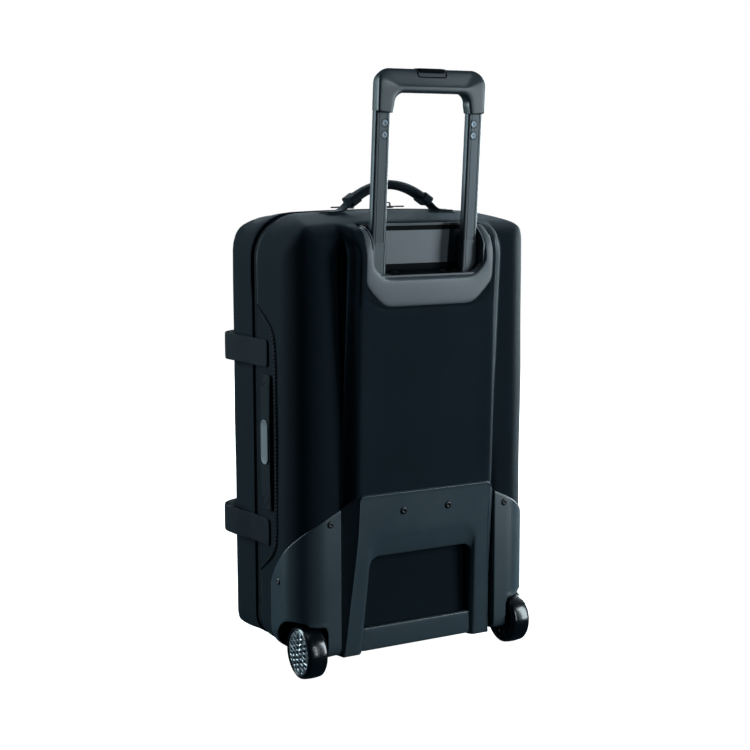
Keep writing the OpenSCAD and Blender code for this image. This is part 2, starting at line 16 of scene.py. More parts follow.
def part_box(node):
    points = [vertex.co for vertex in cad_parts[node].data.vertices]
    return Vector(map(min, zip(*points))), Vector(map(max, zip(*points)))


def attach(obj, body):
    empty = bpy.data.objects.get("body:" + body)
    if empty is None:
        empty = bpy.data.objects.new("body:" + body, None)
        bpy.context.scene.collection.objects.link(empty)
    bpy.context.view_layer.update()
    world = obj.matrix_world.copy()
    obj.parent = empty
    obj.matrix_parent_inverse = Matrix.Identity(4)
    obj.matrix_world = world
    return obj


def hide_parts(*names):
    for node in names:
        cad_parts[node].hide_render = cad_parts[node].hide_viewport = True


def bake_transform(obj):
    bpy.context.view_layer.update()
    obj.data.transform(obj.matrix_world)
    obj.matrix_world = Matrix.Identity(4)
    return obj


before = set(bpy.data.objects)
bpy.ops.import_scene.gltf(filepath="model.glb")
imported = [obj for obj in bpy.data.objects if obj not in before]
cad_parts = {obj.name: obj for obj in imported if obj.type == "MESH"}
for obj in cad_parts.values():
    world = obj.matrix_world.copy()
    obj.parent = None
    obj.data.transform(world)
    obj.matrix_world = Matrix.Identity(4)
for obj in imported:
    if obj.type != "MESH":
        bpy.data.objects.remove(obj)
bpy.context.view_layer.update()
MM = 0.001


def corners(node):
    """Lowest and highest corner of a CAD node, in millimetres."""
    low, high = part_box(node)
    return np.array(low) / MM, np.array(high) / MM


# ---- sizes read from the frame ---------------------------------------------------------------------------

TUB_LOW, TUB_HIGH = corners("tub_shell")
LID_LOW, LID_HIGH = corners("lid_shell")
TYRE_LOW, TYRE_HIGH = corners("tyre_right")

HALF_W = TUB_HIGH[0]
BASE_Z = TUB_LOW[2]
TOP_Z = LID_HIGH[2]
ZIP_Y = TUB_LOW[1]
FRONT_Y = LID_LOW[1]
GUARD_T = 2.5
BACK_Y = corners("corner_guard_right")[1][1] - GUARD_T
WHEEL_R = (TYRE_HIGH[2] - TYRE_LOW[2]) / 2
WHEEL_Y = (TYRE_HIGH[1] + TYRE_LOW[1]) / 2
WHEEL_Z = WHEEL_R
WHEEL_IN, WHEEL_OUT = TYRE_LOW[0], TYRE_HIGH[0]

# ---- sizes of the visible shape --------------------------------------------------------------------------

LEAN = math.radians(4.2)
LEAN_COS, LEAN_SIN = math.cos(LEAN), math.sin(LEAN)
SPINE_Y = BACK_Y - 29
SKIN_V = 7          # fabric behind the back panel
BEZEL_V = 18        # face of the bezel
PANEL_HW = 109      # half widths of the back, from the panel to the grooves beside the spine block
PLATE_HW = 105.5
BLOCK_HW = 118
GROOVE_HW = 124
PLATE_TOP = 257
SHOULDER = (-22, 572, 40, 44)   # centre (v, w) and radii of the rounded top of the spine
BEZEL_HW = 100
BEZEL_IN = 88
BEZEL_LOW = 511
TRAY_V = -26
TRAY_FLOOR = 553
WALL = 4.5
ARCH_R = 47
CROWN_FALL = 16     # how far the crown drops from the middle to the rear edge
FRONT_FALL = 5      # the same towards the front edge
SIDE_FALL = 3       # and towards the sides
TOP_R = 61
FRONT_RADII = (32, 32, TOP_R, TOP_R)
PLAN_RADII = (35, 35, 45, 45)
SIDE_RADII = (20, 20, 30, 24)
FAN_R = 60          # rays fan out round the core of the case, this far inside its skin
CORE_LOW = np.array([FAN_R - HALF_W, FRONT_Y + FAN_R, BASE_Z + FAN_R])
CORE_HIGH = np.array([HALF_W - FAN_R, BACK_Y - FAN_R, TOP_Z - FAN_R])

ALONG_X, ALONG_Y, ALONG_Z = np.eye(3)
BACK_WAY = (0, LEAN_COS, -LEAN_SIN)
TUBE_WAY = (0, LEAN_SIN, LEAN_COS)


def xyz(x, y, z):
    """Points from coordinates, any of which may be a single number."""
    return np.stack(np.broadcast_arrays(x, y, z), -1).astype(float)


def spine(x, v, w):
    """Points of the spine in the frame."""
    v, w = np.asarray(v, float), np.asarray(w, float)
    return xyz(x, SPINE_Y + v * LEAN_COS + w * LEAN_SIN, w * LEAN_COS - v * LEAN_SIN)


def spine_vw(y, z):
    """v and w of points given in the frame."""
    return (y - SPINE_Y) * LEAN_COS - z * LEAN_SIN, (y - SPINE_Y) * LEAN_SIN + z * LEAN_COS


def plate_face(w):
    """v of the kick plate's leaning face at a height."""
    return 24 + 7.5 * (np.asarray(w, float) - 24) / 231


def panel_face(w):
    """v of the back panel's face, which comes in towards the bezel."""
    return np.interp(w, [PLATE_TOP - 1, BEZEL_LOW], [29, BEZEL_V])


# ---- small mesh helpers ----------------------------------------------------------------------------------


def edit_mesh(data, job):
    """Runs a bmesh job on a mesh."""
    edit = bmesh.new()
    edit.from_mesh(data)
    job(edit)
    edit.to_mesh(data)
    edit.free()


def make(name, mesh, body, material, replaces=(), slot=None, flat=False, turned=True):
    """A piece from (points in millimetres, faces), riding on a body, with its faces turned outward."""
    points, faces = mesh
    data = bpy.data.meshes.new(name)
    data.from_pydata([tuple(p) for p in np.asarray(points, float) * MM], [], [tuple(f) for f in faces])
    data.materials.append(material)
    data.polygons.foreach_set("use_smooth", [not flat] * len(data.polygons))
    data.validate()
    data.update()
    if turned:
        edit_mesh(data, lambda edit: bmesh.ops.recalc_face_normals(edit, faces=edit.faces))
    piece = bpy.data.objects.new(name, data)
    bpy.context.scene.collection.objects.link(piece)
    if body:
        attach(piece, body)
    slot = SLOT_OF[material.name] if slot is None else slot
    if replaces:
        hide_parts(*replaces)
    return piece


def grid_faces(rows, columns, closed_rows=False, closed_columns=False):
    """Quads of a grid of points that is stored row by row."""
    faces = []
    for i in range(rows if closed_rows else rows - 1):
        a, b = i * columns, ((i + 1) % rows) * columns
        for j in range(columns if closed_columns else columns - 1):
            k = (j + 1) % columns
            faces.append((a + j, a + k, b + k, b + j))
    return faces


def grid_mesh(grid, closed_rows=False, closed_columns=False):
    """Points and faces of a grid (rows, columns, 3)."""
    return grid.reshape(-1, 3), grid_faces(*grid.shape[:2], closed_rows, closed_columns)


def torus(grid):
    """A grid that closes both ways."""
    return grid_mesh(grid, True, True)


def solid(grid):
    """A stack of closed outlines with a flat cap at each end."""
    rows, columns = grid.shape[:2]
    points, faces = grid_mesh(grid, closed_columns=True)
    last = (rows - 1) * columns
    return points, faces + [tuple(range(columns)), tuple(last + j for j in reversed(range(columns)))]


def loft(outline, levels, place):
    """A solid of one outline at (height, scale) levels, put in place by a function of (a, b, height)."""
    return solid(np.array([place(*(outline * scale).T, height) for height, scale in levels]))


def rod(path, profile, side):
    """A solid profile carried along a path."""
    return solid(sweep(path, profile, side))


BOX_FACES = [(0, 1, 3, 2), (4, 6, 7, 5), (0, 4, 5, 1), (2, 3, 7, 6), (0, 2, 6, 4), (1, 5, 7, 3)]


def join(meshes):
    """Several (points, faces) as one."""
    points, faces, start = [], [], 0
    for p, f in meshes:
        points.append(np.asarray(p, float))
        faces += [tuple(i + start for i in face) for face in f]
        start += len(p)
    return np.concatenate(points), faces


def whole(half):
    """A path from one side to the middle, with its mirror image added."""
    return np.concatenate([half, half[::-1][1:] * ([-1] + [1] * (half.shape[-1] - 1))])


def modifier(piece, kind, **settings):
    made = piece.modifiers.new(kind.lower(), kind)
    for key, value in settings.items():
        setattr(made, key, value)
    return made


def subdivide(piece, levels=1):
    modifier(piece, "SUBSURF", levels=levels, render_levels=levels)


def bevel(piece, width, segments, angle):
    modifier(piece, "BEVEL", width=width * MM, segments=segments, limit_method="ANGLE",
             angle_limit=math.radians(angle))


def thicken(piece, thickness):
    modifier(piece, "SOLIDIFY", thickness=thickness * MM, offset=-1)


def apply_modifiers(piece):
    """Bakes a piece's modifiers into its mesh."""
    graph = bpy.context.evaluated_depsgraph_get()
    mesh = bpy.data.meshes.new_from_object(piece.evaluated_get(graph))
    old = piece.data
    piece.modifiers.clear()
    piece.data = mesh
    mesh.name = piece.name
    bpy.data.meshes.remove(old)


def turns(count):
    """Angles evenly round a circle."""
    return np.arange(count) / count * 2 * math.pi


def circle(radius, count):
    a = turns(count)
    return np.stack([radius * np.cos(a), radius * np.sin(a)], -1)


def rounded_rectangle(half_x, half_y, radius, steps=4):
    """Closed outline, anticlockwise from the right."""
    points = []
    for k, (sx, sy) in enumerate([(1, 1), (-1, 1), (-1, -1), (1, -1)]):
        for i in range(steps + 1):
            a = math.radians(90 * (k + i / steps))
            points.append((sx * (half_x - radius) + radius * math.cos(a),
                           sy * (half_y - radius) + radius * math.sin(a)))
    return np.array(points)


def arc_points(cx, cy, radius, start, end, count):
    a = np.radians(np.linspace(start, end, count))
    return np.stack([cx + radius * np.cos(a), cy + radius * np.sin(a)], -1)


def line_points(a, b, count):
    t = np.linspace(0, 1, count)[:, None]
    return np.asarray(a, float) * (1 - t) + np.asarray(b, float) * t


def chain(first, *others):
    """Stretches that follow on from each other, without the point that each shares with the last."""
    return np.concatenate([first] + [stretch[1:] for stretch in others])


def eased(path, passes):
    """A path with its kinks smoothed and its ends kept."""
    for _ in range(passes):
        path = path.copy()
        path[1:-1] = (path[:-2] + 2 * path[1:-1] + path[2:]) / 4
    return path


def lengths_along(points):
    """Distance of each point along its polyline."""
    return np.concatenate([[0], np.cumsum(np.linalg.norm(np.diff(points, axis=0), axis=1))])


def resample(points, step):
    """The same polyline with points a fixed step apart."""
    points = np.asarray(points, float)
    length = lengths_along(points)
    at = np.linspace(0, length[-1], max(2, int(round(length[-1] / step)) + 1))
    return np.stack([np.interp(at, length, column) for column in points.T], -1)


def sweep(path, profile, side, closed=False):
    """Grid of a profile (across, along the side vector) carried along a path."""
    path, profile = np.asarray(path, float), np.asarray(profile, float)
    heading = np.roll(path, -1, 0) - np.roll(path, 1, 0) if closed else np.gradient(path, axis=0)
    side = np.broadcast_to(np.asarray(side, float), path.shape)
    across = unit(np.cross(side, unit(heading)))
    return path[:, None] + across[:, None] * profile[..., :1] + side[:, None] * profile[..., 1:]


def lathe(profile, side, count):
    """A closed profile of (radius, x) turned about a wheel's axis."""
    r, x = np.asarray(profile, float).T
    a = turns(count)[:, None]
    return torus(xyz(x * side, WHEEL_Y + np.cos(a) * r, WHEEL_Z + np.sin(a) * r))


def smooth_step(t):
    t = np.clip(t, 0, 1)
    return t * t * (3 - 2 * t)


def ramp(t):
    return np.clip(t, 0, 1)


def unit(vectors):
    return vectors / np.linalg.norm(vectors, axis=-1, keepdims=True)


# ---- the soft body as a field ----------------------------------------------------------------------------


def outline(u, v, low, high, radii):
    """Signed distance to a rectangle, its corner radii ordered low-low, high-low, low-high, high-high."""
    cu, cv = (low[0] + high[0]) / 2, (low[1] + high[1]) / 2
    r = np.where(v > cv, np.where(u > cu, radii[3], radii[2]), np.where(u > cu, radii[1], radii[0]))
    qu = np.abs(u - cu) - (high[0] - low[0]) / 2 + r
    qv = np.abs(v - cv) - (high[1] - low[1]) / 2 + r
    return np.minimum(np.maximum(qu, qv), 0) + np.hypot(np.maximum(qu, 0), np.maximum(qv, 0)) - r


def soft_max(a, b, k):
    h = np.maximum(k - np.abs(a - b), 0) / k
    return np.maximum(a, b) + h * h * k / 4


def soft_min(a, b, k):
    return -soft_max(-a, -b, k)


def lowest(*fields):
    return np.minimum.reduce(np.broadcast_arrays(*fields))


def highest(*fields):
    return np.maximum.reduce(np.broadcast_arrays(*fields))


def body_field(p):
    """Distance to the rounded box of the whole case, without its spine."""
    x, y, z = p[..., 0], p[..., 1], p[..., 2]
    droop = SIDE_FALL * np.clip(np.abs(x) / 140, 0, 1.1) ** 2 + FRONT_FALL * smooth_step((-45 - y) / 60)
    crown = z + droop + CROWN_FALL * (np.clip(y + 10, 0, None) / (BACK_Y + 10)) ** 1.4
    return highest(outline(x, z + droop, (-HALF_W, BASE_Z), (HALF_W, TOP_Z), FRONT_RADII),
                   outline(x, y, (-HALF_W, FRONT_Y), (HALF_W, BACK_Y), PLAN_RADII),
                   outline(y, crown, (FRONT_Y, BASE_Z), (BACK_Y, TOP_Z), SIDE_RADII))


def shoulder_field(v, w, depth):
    """Distance to the spine's profile: flat up to the shoulder, then an ellipse over the top."""
    cv, cw, rv, rw = SHOULDER
    rv, rw = rv - depth, rw - depth
    ellipse = (np.hypot((v - cv) / rv, np.maximum(w - cw, 0) / rw) - 1) * min(rv, rw)
    return np.where(w < cw, np.abs(v - cv) - rv, ellipse)


def well_field(x, y, z, wall_x, radius):
    """Positive inside a wheel well: outboard of its inner wall and under its arch."""
    return lowest(x - wall_x, radius - np.hypot(y - WHEEL_Y, np.maximum(z, WHEEL_Z) - WHEEL_Z))


def outer_field(p):
    """The fabric outside: columns, grooves, spine block, recess for the grip and wheel wells."""
    x, y, z = np.abs(p[..., 0]), p[..., 1], p[..., 2]
    v, w = spine_vw(y, z)
    columns = soft_max(body_field(p), lowest(GROOVE_HW - x, v - SKIN_V), 5)
    block = soft_max(x - BLOCK_HW, highest(v - SKIN_V, shoulder_field(v, w, 0)), 10)
    shape = soft_min(columns, highest(block, BASE_Z - z), 7)
    edge = soft_max(x - PANEL_HW, highest(shoulder_field(v, w, 0.8), 500 - w), 5)
    shape = soft_min(shape, edge, 5)
    recess = lowest(BEZEL_IN + 6 - x, v - TRAY_V + 3.5, w - TRAY_FLOOR + 5)
    return highest(shape, recess, well_field(x, y, z, WHEEL_IN - 9, ARCH_R + 0.5))


def inner_field(p):
    """The lining inside, stepped round the handle channel, the recess and the wheel wells."""
    x, y, z = np.abs(p[..., 0]), p[..., 1], p[..., 2]
    v, w = spine_vw(y, z)
    shape = soft_max(body_field(p) + WALL, lowest(GROOVE_HW + 4 - x, v - 2), 5)
    shape = soft_max(shape, lowest(PANEL_HW + 3 - x, v + 23.6), 6)
    shape = soft_max(shape, lowest(PANEL_HW + 1 - x, v + 31.5, w - TRAY_FLOOR + 15), 5)
    return soft_max(shape, well_field(x, y, z, WHEEL_IN - 13, ARCH_R + 4), 5)


FURTHEST = 220.0
HALVINGS = 36


def shoot(field, origins, directions, offset=0.0):
    """Where rays from inside a field reach it, by bisection."""
    low = np.zeros(origins.shape[:-1])
    high = np.full(origins.shape[:-1], FURTHEST)
    for _ in range(HALVINGS):
        middle = (low + high) / 2
        inside = field(origins + directions * middle[..., None]) < offset
        low = np.where(inside, middle, low)
        high = np.where(inside, high, middle)
    return origins + directions * low[..., None]


FAN = FAN_R * np.tan(np.radians(np.linspace(0, 45, 9)[1:]))


def knots(low, high, step, extra=()):
    """Grid lines along an axis: even ones across the core, then a fan round each end."""
    even = np.linspace(low, high, int(round((high - low) / step)) + 1)
    inner = np.array([k for k in even if all(abs(k - e) > step * 0.45 for e in extra)] + list(extra))
    return np.concatenate([low - FAN[::-1], np.sort(inner), high + FAN])


# (distance behind the zip, height of the fabric): a corded line, then the tucks on each side of the zip
SEAM = np.array([(-17, 0), (-15.3, -0.2), (-14.4, -1.5), (-13.4, 0.3), (-12.4, 1.0), (-11.3, 0.3),
                 (-10.6, -2.4), (-9.6, -3.8), (-0.8, -3.8), (0.8, -3.8), (3.6, -3.6), (4.8, -0.6), (8, 0)])
SPLIT = 0.8         # half the gap between the two halves
CORD_Y = -10.5      # the corded line lies in front of this
CORD_Z = 519        # and above this
ZIP_LINES = list(ZIP_Y + SEAM[:, 0])
VALLEY = [84, 89, 92, 95, 98, 101, 104, 107, 110, 113, 116, 119, 121.5, 124, 126.5]
SHELF_LINES = [546, 552, 558, 564]


def lattice():
    """Rays over the surface of a rounded box, with a grid line on every feature of the case."""
    xs = knots(CORE_LOW[0], CORE_HIGH[0], 15, [-k for k in VALLEY] + VALLEY)
    ys = knots(CORE_LOW[1], CORE_HIGH[1], 11, ZIP_LINES)
    zs = knots(CORE_LOW[2], CORE_HIGH[2], 14, SHELF_LINES)
    shape = (len(xs), len(ys), len(zs))
    index = -np.ones(shape, int)
    skin = np.zeros(shape, bool)
    ends = [(axis, end) for axis in range(3) for end in (0, -1)]
    for axis, end in ends:
        skin[(slice(None),) * axis + (end,)] = True
    index[skin] = np.arange(skin.sum())
    i, j, k = np.nonzero(skin)
    at = np.stack([xs[i], ys[j], zs[k]], -1)
    origin = np.clip(at, CORE_LOW, CORE_HIGH)
    faces = []
    for axis, end in ends:
        side = np.take(index, end, axis)
        quad = np.stack([side[:-1, :-1], side[1:, :-1], side[1:, 1:], side[:-1, 1:]], -1).reshape(-1, 4)
        faces.append(quad[:, ::-1] if (end == 0) == (axis != 1) else quad)
    return origin, unit(at - origin), np.concatenate(faces), at[:, 1]


RAYS = lattice()


def sag(x, y, z):
    """Slow unevenness of stretched fabric, so that no wall is a perfect plane."""
    wave = np.sin(z / 61 + x / 97) * np.cos(y / 43 + 1.3)
    ripple = np.sin(z / 29 + y / 37 + 2.1) * np.cos(x / 53)
    return 0.45 * (wave + 0.6 * ripple)


def shell(front):
    """Mesh and face materials of one half of the case, as a closed fabric wall with its lining."""
    origin, direction, faces, row_y = RAYS
    behind = row_y - ZIP_Y
    keep = (behind < 0) if front else (behind > 0)
    loose = smooth_step((np.abs(behind) - 18) / 25)
    outer = shoot(outer_field, origin, direction)
    corded = smooth_step((outer[:, 2] - CORD_Z) / 12) * (outer[:, 0] > -HALF_W + 20)
    tuck = np.interp(behind, *SEAM.T) * np.where(behind < CORD_Y, corded, 1)
    outer = outer + direction * (tuck + loose * sag(*outer.T))[:, None]
    inner = shoot(inner_field, origin, direction)
    number = np.cumsum(keep) - 1
    count = keep.sum()
    kept = number[faces[keep[faces].all(1)]]
    outside, inside = kept.tolist(), (kept[:, ::-1] + count).tolist()
    rim_row = set(number[np.isclose(np.abs(behind), SPLIT) & keep].tolist())
    rim = []
    for face in outside:
        for a, b in zip(face, face[1:] + face[:1]):
            if a in rim_row and b in rim_row:
                rim.append((b, a, a + count, b + count))
    material = [0] * len(outside) + [1] * len(inside) + [0] * len(rim)
    return (np.concatenate([outer[keep], inner[keep]]), outside + inside + rim), material


# ---- materials -------------------------------------------------------------------------------------------


class Graph:
    """Short names for building a material's nodes."""

    def __init__(self, name):
        self.material = bpy.data.materials.new(name)
        self.material.use_nodes = True
        self.tree = self.material.node_tree
        self.shader = self.tree.nodes["Principled BSDF"]

    def add(self, kind, output=0, settings=None, **inputs):
        node = self.tree.nodes.new(kind)
        for key, value in (settings or {}).items():
            setattr(node, key, value)
        for key, value in inputs.items():
            socket = node.inputs[int(key[1:])] if key[1:].isdigit() else node.inputs[key.replace("_", " ")]
            self.feed(socket, value)
        return node.outputs[output]

    def feed(self, socket, value):
        if isinstance(value, bpy.types.NodeSocket):
            self.tree.links.new(value, socket)
        else:
            socket.default_value = value

    def math(self, operation, a, b=0.0):
        return self.add("ShaderNodeMath", settings={"operation": operation}, i0=a, i1=b)

    def times(self, a, b):
        return self.math("MULTIPLY", a, b)

    def plus(self, a, b):
        return self.math("ADD", a, b)

    def wave(self, value, pitch):
        """A sine of a length, with its pitch in millimetres."""
        return self.math("SINE", self.times(value, 2 * math.pi / (pitch * MM)))

    def place(self):
        return self.add("ShaderNodeTexCoord", output=3)

    def axes(self):
        return self.add("ShaderNodeSeparateXYZ", Vector=self.place()).node.outputs

    def noise(self, scale, detail=3.0, roughness=0.55):
        return self.add("ShaderNodeTexNoise", Vector=self.place(), Scale=scale, Detail=detail,
                        Roughness=roughness)

    def blend(self, factor, low, high):
        """A colour between two, by a factor."""
        node = self.tree.nodes.new("ShaderNodeMix")
        node.data_type = "RGBA"
        for socket, value in zip((0, 6, 7), (factor, (*low, 1), (*high, 1))):
            self.feed(node.inputs[socket], value)
        return node.outputs[2]

    def span(self, value, low, high, to_low, to_high):
        return self.add("ShaderNodeMapRange", i0=value, i1=low, i2=high, i3=to_low, i4=to_high)

    def bump(self, height, strength, distance):
        return self.add("ShaderNodeBump", Height=height, Strength=strength, Distance=distance * MM)

    def set(self, **values):
        for key, value in values.items():
            self.feed(self.shader.inputs[key.replace("_", " ")], value)


SHEEN_TINT = (0.4, 0.7, 0.9, 1)


def woven(name, dark, light, pitch, roughness=0.8, sheen=0.04, speckle=0.5):
    """Plain-woven cloth: crossing threads, slubs in the yarn and slow fading."""
    g = Graph(name)
    x, y, z = g.axes()
    weave = g.times(g.wave(g.plus(x, y), pitch), g.wave(g.plus(z, g.times(y, 0.5)), pitch))
    slub = g.noise(900 / pitch, 2)
    fading = g.span(g.noise(9, 4), 0.3, 0.7, 0.75, 1.1)
    mixed = g.plus(g.span(weave, -1.0, 1.0, 0.0, 1 - speckle), g.times(slub, speckle))
    height = g.plus(weave, g.times(slub, 0.8))
    g.set(Base_Color=g.blend(g.times(mixed, fading), dark, light),
          Roughness=g.span(slub, 0.3, 0.7, roughness - 0.06, roughness + 0.06),
          Normal=g.bump(height, 0.35, 0.25))
    g.set(Sheen_Weight=sheen, Sheen_Roughness=0.45, Sheen_Tint=SHEEN_TINT, Specular_IOR_Level=0.12)
    return g.material


def webbing_cloth(name, dark, light, rib=1.7):
    """Heavy webbing with ribs across it."""
    g = Graph(name)
    x, y, z = g.axes()
    height = g.plus(g.wave(z, rib), g.times(g.wave(g.plus(x, y), rib * 0.6), 0.4))
    shade = g.plus(g.span(height, -1.4, 1.4, 0.1, 0.6), g.times(g.noise(700, 2), 0.4))
    g.set(Base_Color=g.blend(shade, dark, light), Roughness=0.72, Normal=g.bump(height, 0.45, 0.3))
    g.set(Sheen_Weight=0.04, Sheen_Roughness=0.5, Sheen_Tint=SHEEN_TINT, Specular_IOR_Level=0.15)
    return g.material


def moulding(name, dark, light, roughness, grain=1.0, coat=0.0, specular=0.5):
    """Moulded plastic: spark-eroded grain, faint scuffs and uneven gloss."""
    g = Graph(name)
    smear = g.noise(14, 5, 0.6)
    wear = g.plus(g.times(smear, 0.6), g.times(g.noise(60, 6, 0.75), 0.4))
    g.set(Base_Color=g.blend(smear, dark, light),
          Roughness=g.span(wear, 0.3, 0.7, roughness - 0.05, roughness + 0.07),
          Normal=g.bump(g.noise(2600, 2, 0.6), 0.22 * grain, 0.12))
    g.set(Coat_Weight=coat, Coat_Roughness=0.12, Specular_IOR_Level=specular)
    return g.material


def brushed(name, colour, roughness, metallic=1.0):
    """Anodised or bare metal with fine lines along Z."""
    g = Graph(name)
    mapping = g.add("ShaderNodeMapping", Vector=g.place(), Scale=(900, 900, 12))
    lines = g.add("ShaderNodeTexNoise", Vector=mapping, Scale=1.0, Detail=3.0)
    g.set(Base_Color=g.blend(lines, tuple(c * 0.85 for c in colour), colour),
          Roughness=g.span(lines, 0.3, 0.7, roughness - 0.05, roughness + 0.06),
          Normal=g.bump(lines, 0.06, 0.05))
    g.set(Metallic=metallic)
    return g.material


def stitched(name, colour):
    """Twisted sewing thread."""
    g = Graph(name)
    twist = g.add("ShaderNodeTexWave", Vector=g.place(), Scale=900.0, Distortion=1.0)
    low = tuple(c * 0.4 for c in colour)
    g.set(Base_Color=g.blend(twist, low, colour), Roughness=0.6, Normal=g.bump(twist, 0.4, 0.1))
    return g.material


FABRIC = woven("nylon_fabric", (0.0006, 0.0036, 0.0060), (0.0066, 0.0162, 0.0245), 1.1)
PANEL_FABRIC = woven("panel_fabric", (0.0010, 0.0042, 0.0070), (0.0098, 0.0220, 0.0320), 1.6, speckle=0.6)
LINING = woven("lining_cloth", (0.020, 0.024, 0.028), (0.060, 0.068, 0.076), 0.8, roughness=0.6, sheen=0.1)
PIPING = woven("piping_cloth", (0.0012, 0.0038, 0.0064), (0.0090, 0.0165, 0.0240), 0.8)
WEBBING = webbing_cloth("strap_webbing", (0.0012, 0.0036, 0.0060), (0.0080, 0.0150, 0.0220))
ZIP_TAPE = webbing_cloth("zip_tape_cloth", (0.0004, 0.0010, 0.0020), (0.0020, 0.0045, 0.0070), rib=0.9)
THREAD = stitched("sewing_thread", (0.012, 0.020, 0.028))
PLASTIC = moulding("moulded_plastic", (0.0350, 0.0520, 0.0640), (0.0450, 0.0655, 0.0785), 0.34)
SATIN = moulding("satin_plastic", (0.092, 0.106, 0.120), (0.114, 0.130, 0.146), 0.38)
GRIP = moulding("grip_plastic", (0.0180, 0.0275, 0.0345), (0.0260, 0.0380, 0.0465), 0.32)
# Dark plastic; on the wheel hubs it also stands in as painted shade.
DARK_AND_SHADE = moulding("dark_plastic", (0.0030, 0.0060, 0.0085), (0.0060, 0.0100, 0.0140), 0.38)
# Matte black plastic, which also serves as painted shade in the handle recess and behind the wheel caps.
MATTE_BLACK_AND_SHADE = moulding("matte_black_and_painted_shade", (0.0008, 0.0018, 0.0028), (0.0018, 0.0034, 0.0050), 0.7, specular=0.08)
TYRE = moulding("tyre_rubber", (0.0016, 0.0038, 0.0056), (0.0032, 0.0064, 0.0090), 0.22, grain=0.4, coat=0.5)
BADGE = moulding("badge_rubber", (0.155, 0.168, 0.182), (0.188, 0.202, 0.218), 0.5)
TUBE = brushed("tube_metal", (0.040, 0.049, 0.056), 0.38, metallic=0.5)
STEEL = brushed("steel", (0.45, 0.47, 0.50), 0.25)
BOLT = brushed("bolt_metal", (0.11, 0.13, 0.15), 0.3)
BLACK_METAL = brushed("dark_metal", (0.010, 0.014, 0.018), 0.35, metallic=0.7)
CAP = brushed("silver_cap", (0.42, 0.46, 0.49), 0.28, metallic=0.8)

SLOTS = {"body_fabric": (FABRIC, PANEL_FABRIC, PIPING), "lining": (LINING,), "webbing": (WEBBING, THREAD),
         "zip_tape": (ZIP_TAPE,), "moulded_plastic": (PLASTIC,), "satin_plastic": (SATIN,),
         "grip_plastic": (GRIP,), "dark_plastic": (DARK_AND_SHADE, MATTE_BLACK_AND_SHADE), "tyre_black": (TYRE,),
         "badge_rubber": (BADGE,), "tube_metal": (TUBE,), "dark_metal": (BOLT, BLACK_METAL),
         "silver_cap": (CAP,)}
SLOT_OF = {material.name: slot for slot, materials in SLOTS.items() for material in materials}


# ---- fabric shells of the tub and the lid ----------------------------------------------------------------


def fabric_shell(name, front, body, node):
    mesh, face_materials = shell(front)
    piece = make(name, mesh, body, FABRIC, (node,), turned=False)
    piece.data.materials.append(LINING)
    piece.data.polygons.foreach_set("material_index", np.asarray(face_materials, np.int32))
    subdivide(piece)


# ---- bands and seams that follow the body's outline ------------------------------------------------------


def loop_points(y, offset, step=9.0):
    """A line round the case at one depth, from the hinge over the top and back, raised by an offset."""
    low, high = CORE_LOW[[0, 2]], CORE_HIGH[[0, 2]]
    start_x = -HALF_W + 12
    right, floor, top = high[0] + FAN_R, low[1] - FAN_R, high[1] + FAN_R
    at = resample([(start_x, floor), (right, floor), (right, top), (start_x, top)], step)
    origin = np.clip(at, low, high)
    way = unit(at - origin)
    way = xyz(way[:, 0], 0, way[:, 1])
    return shoot(body_field, xyz(origin[:, 0], y, origin[:, 1]), way) + way * offset


def zip_bands():
    """Dark tape sunk between the two seams of the zip, and the coil along its middle."""
    floor, face = -4.1, -3.3
    for name, body, near, far in (("lid_zip", "lid", -1.2, -10.4), ("tub_zip", "case", 1.2, 4.4)):
        strip = [(near, floor), (near, face), (far, face), (far, floor)]
        tape = np.stack([loop_points(ZIP_Y + y, offset) for y, offset in strip], 1)
        make(f"{name}_tape", solid(tape), body, ZIP_TAPE, (name,))
    middle = np.array([0, 0, (BASE_Z + TOP_Z) / 2])
    for name, body, way in (("lid_zip_coil", "lid", -1), ("tub_zip_coil", "case", 1)):
        centre = loop_points(ZIP_Y + way, -2.9, 1.5)
        turn = np.arange(len(centre)) % 2
        out = unit(centre * [1, 0, 1] - middle)
        crest = centre + [0, -0.75 * way, 0] + out * (0.25 + 0.45 * turn)[:, None]
        foot = centre + [0, 0.8 * way, 0]
        make(name, solid(np.stack([foot, crest, foot - out * 0.8], 1)), body, BLACK_METAL, flat=True)


def stitch_row(paths, length=2.6, gap=1.5, radius=0.35, lift=0.25):
    """Separate raised stitches along paths of (points, outward directions)."""
    meshes = []
    share = np.array([0, 0.25, 0.75, 1])[:, None]
    rise = np.array([-0.1, lift, lift, -0.1])[:, None]
    for points, outs in paths:
        row = resample(np.concatenate([points, outs], 1), length + gap)
        for a, b in zip(row, row[1:]):
            heading, out = unit(b[:3] - a[:3]), unit(a[3:])
            line = a[:3] + heading * length * share + out * rise
            meshes.append(rod(line, circle(radius, 6), np.cross(heading, out)))
    return join(meshes)


# ---- back panel ------------------------------------------------------------------------------------------


def shoulder_point(x, w, depth):
    """Points on the spine's profile at a depth below its face, with w running on over the shoulder."""
    cv, cw, rv, rw = SHOULDER
    angle = np.clip((np.asarray(w, float) - cw) / 42.0, 0, 1.5)
    depth = np.asarray(depth, float)
    v = np.where(angle > 0, cv + (rv - depth) * np.cos(angle), cv + rv - depth)
    up = np.where(angle > 0, cw + (rw - depth) * np.sin(angle), w)
    return spine(x, v, up)


BEZEL_FLAT = 70     # half width of the bezel's lower edge, between its slanted corners


def bezel_distance(x, w):
    """Distance outside the lower outline of the bezel, negative under it."""
    slant = (np.abs(x) - BEZEL_FLAT + (BEZEL_LOW - w)) / math.sqrt(2)
    return soft_max(soft_max(np.abs(x) - BEZEL_HW, BEZEL_LOW - w, 8), slant, 8)


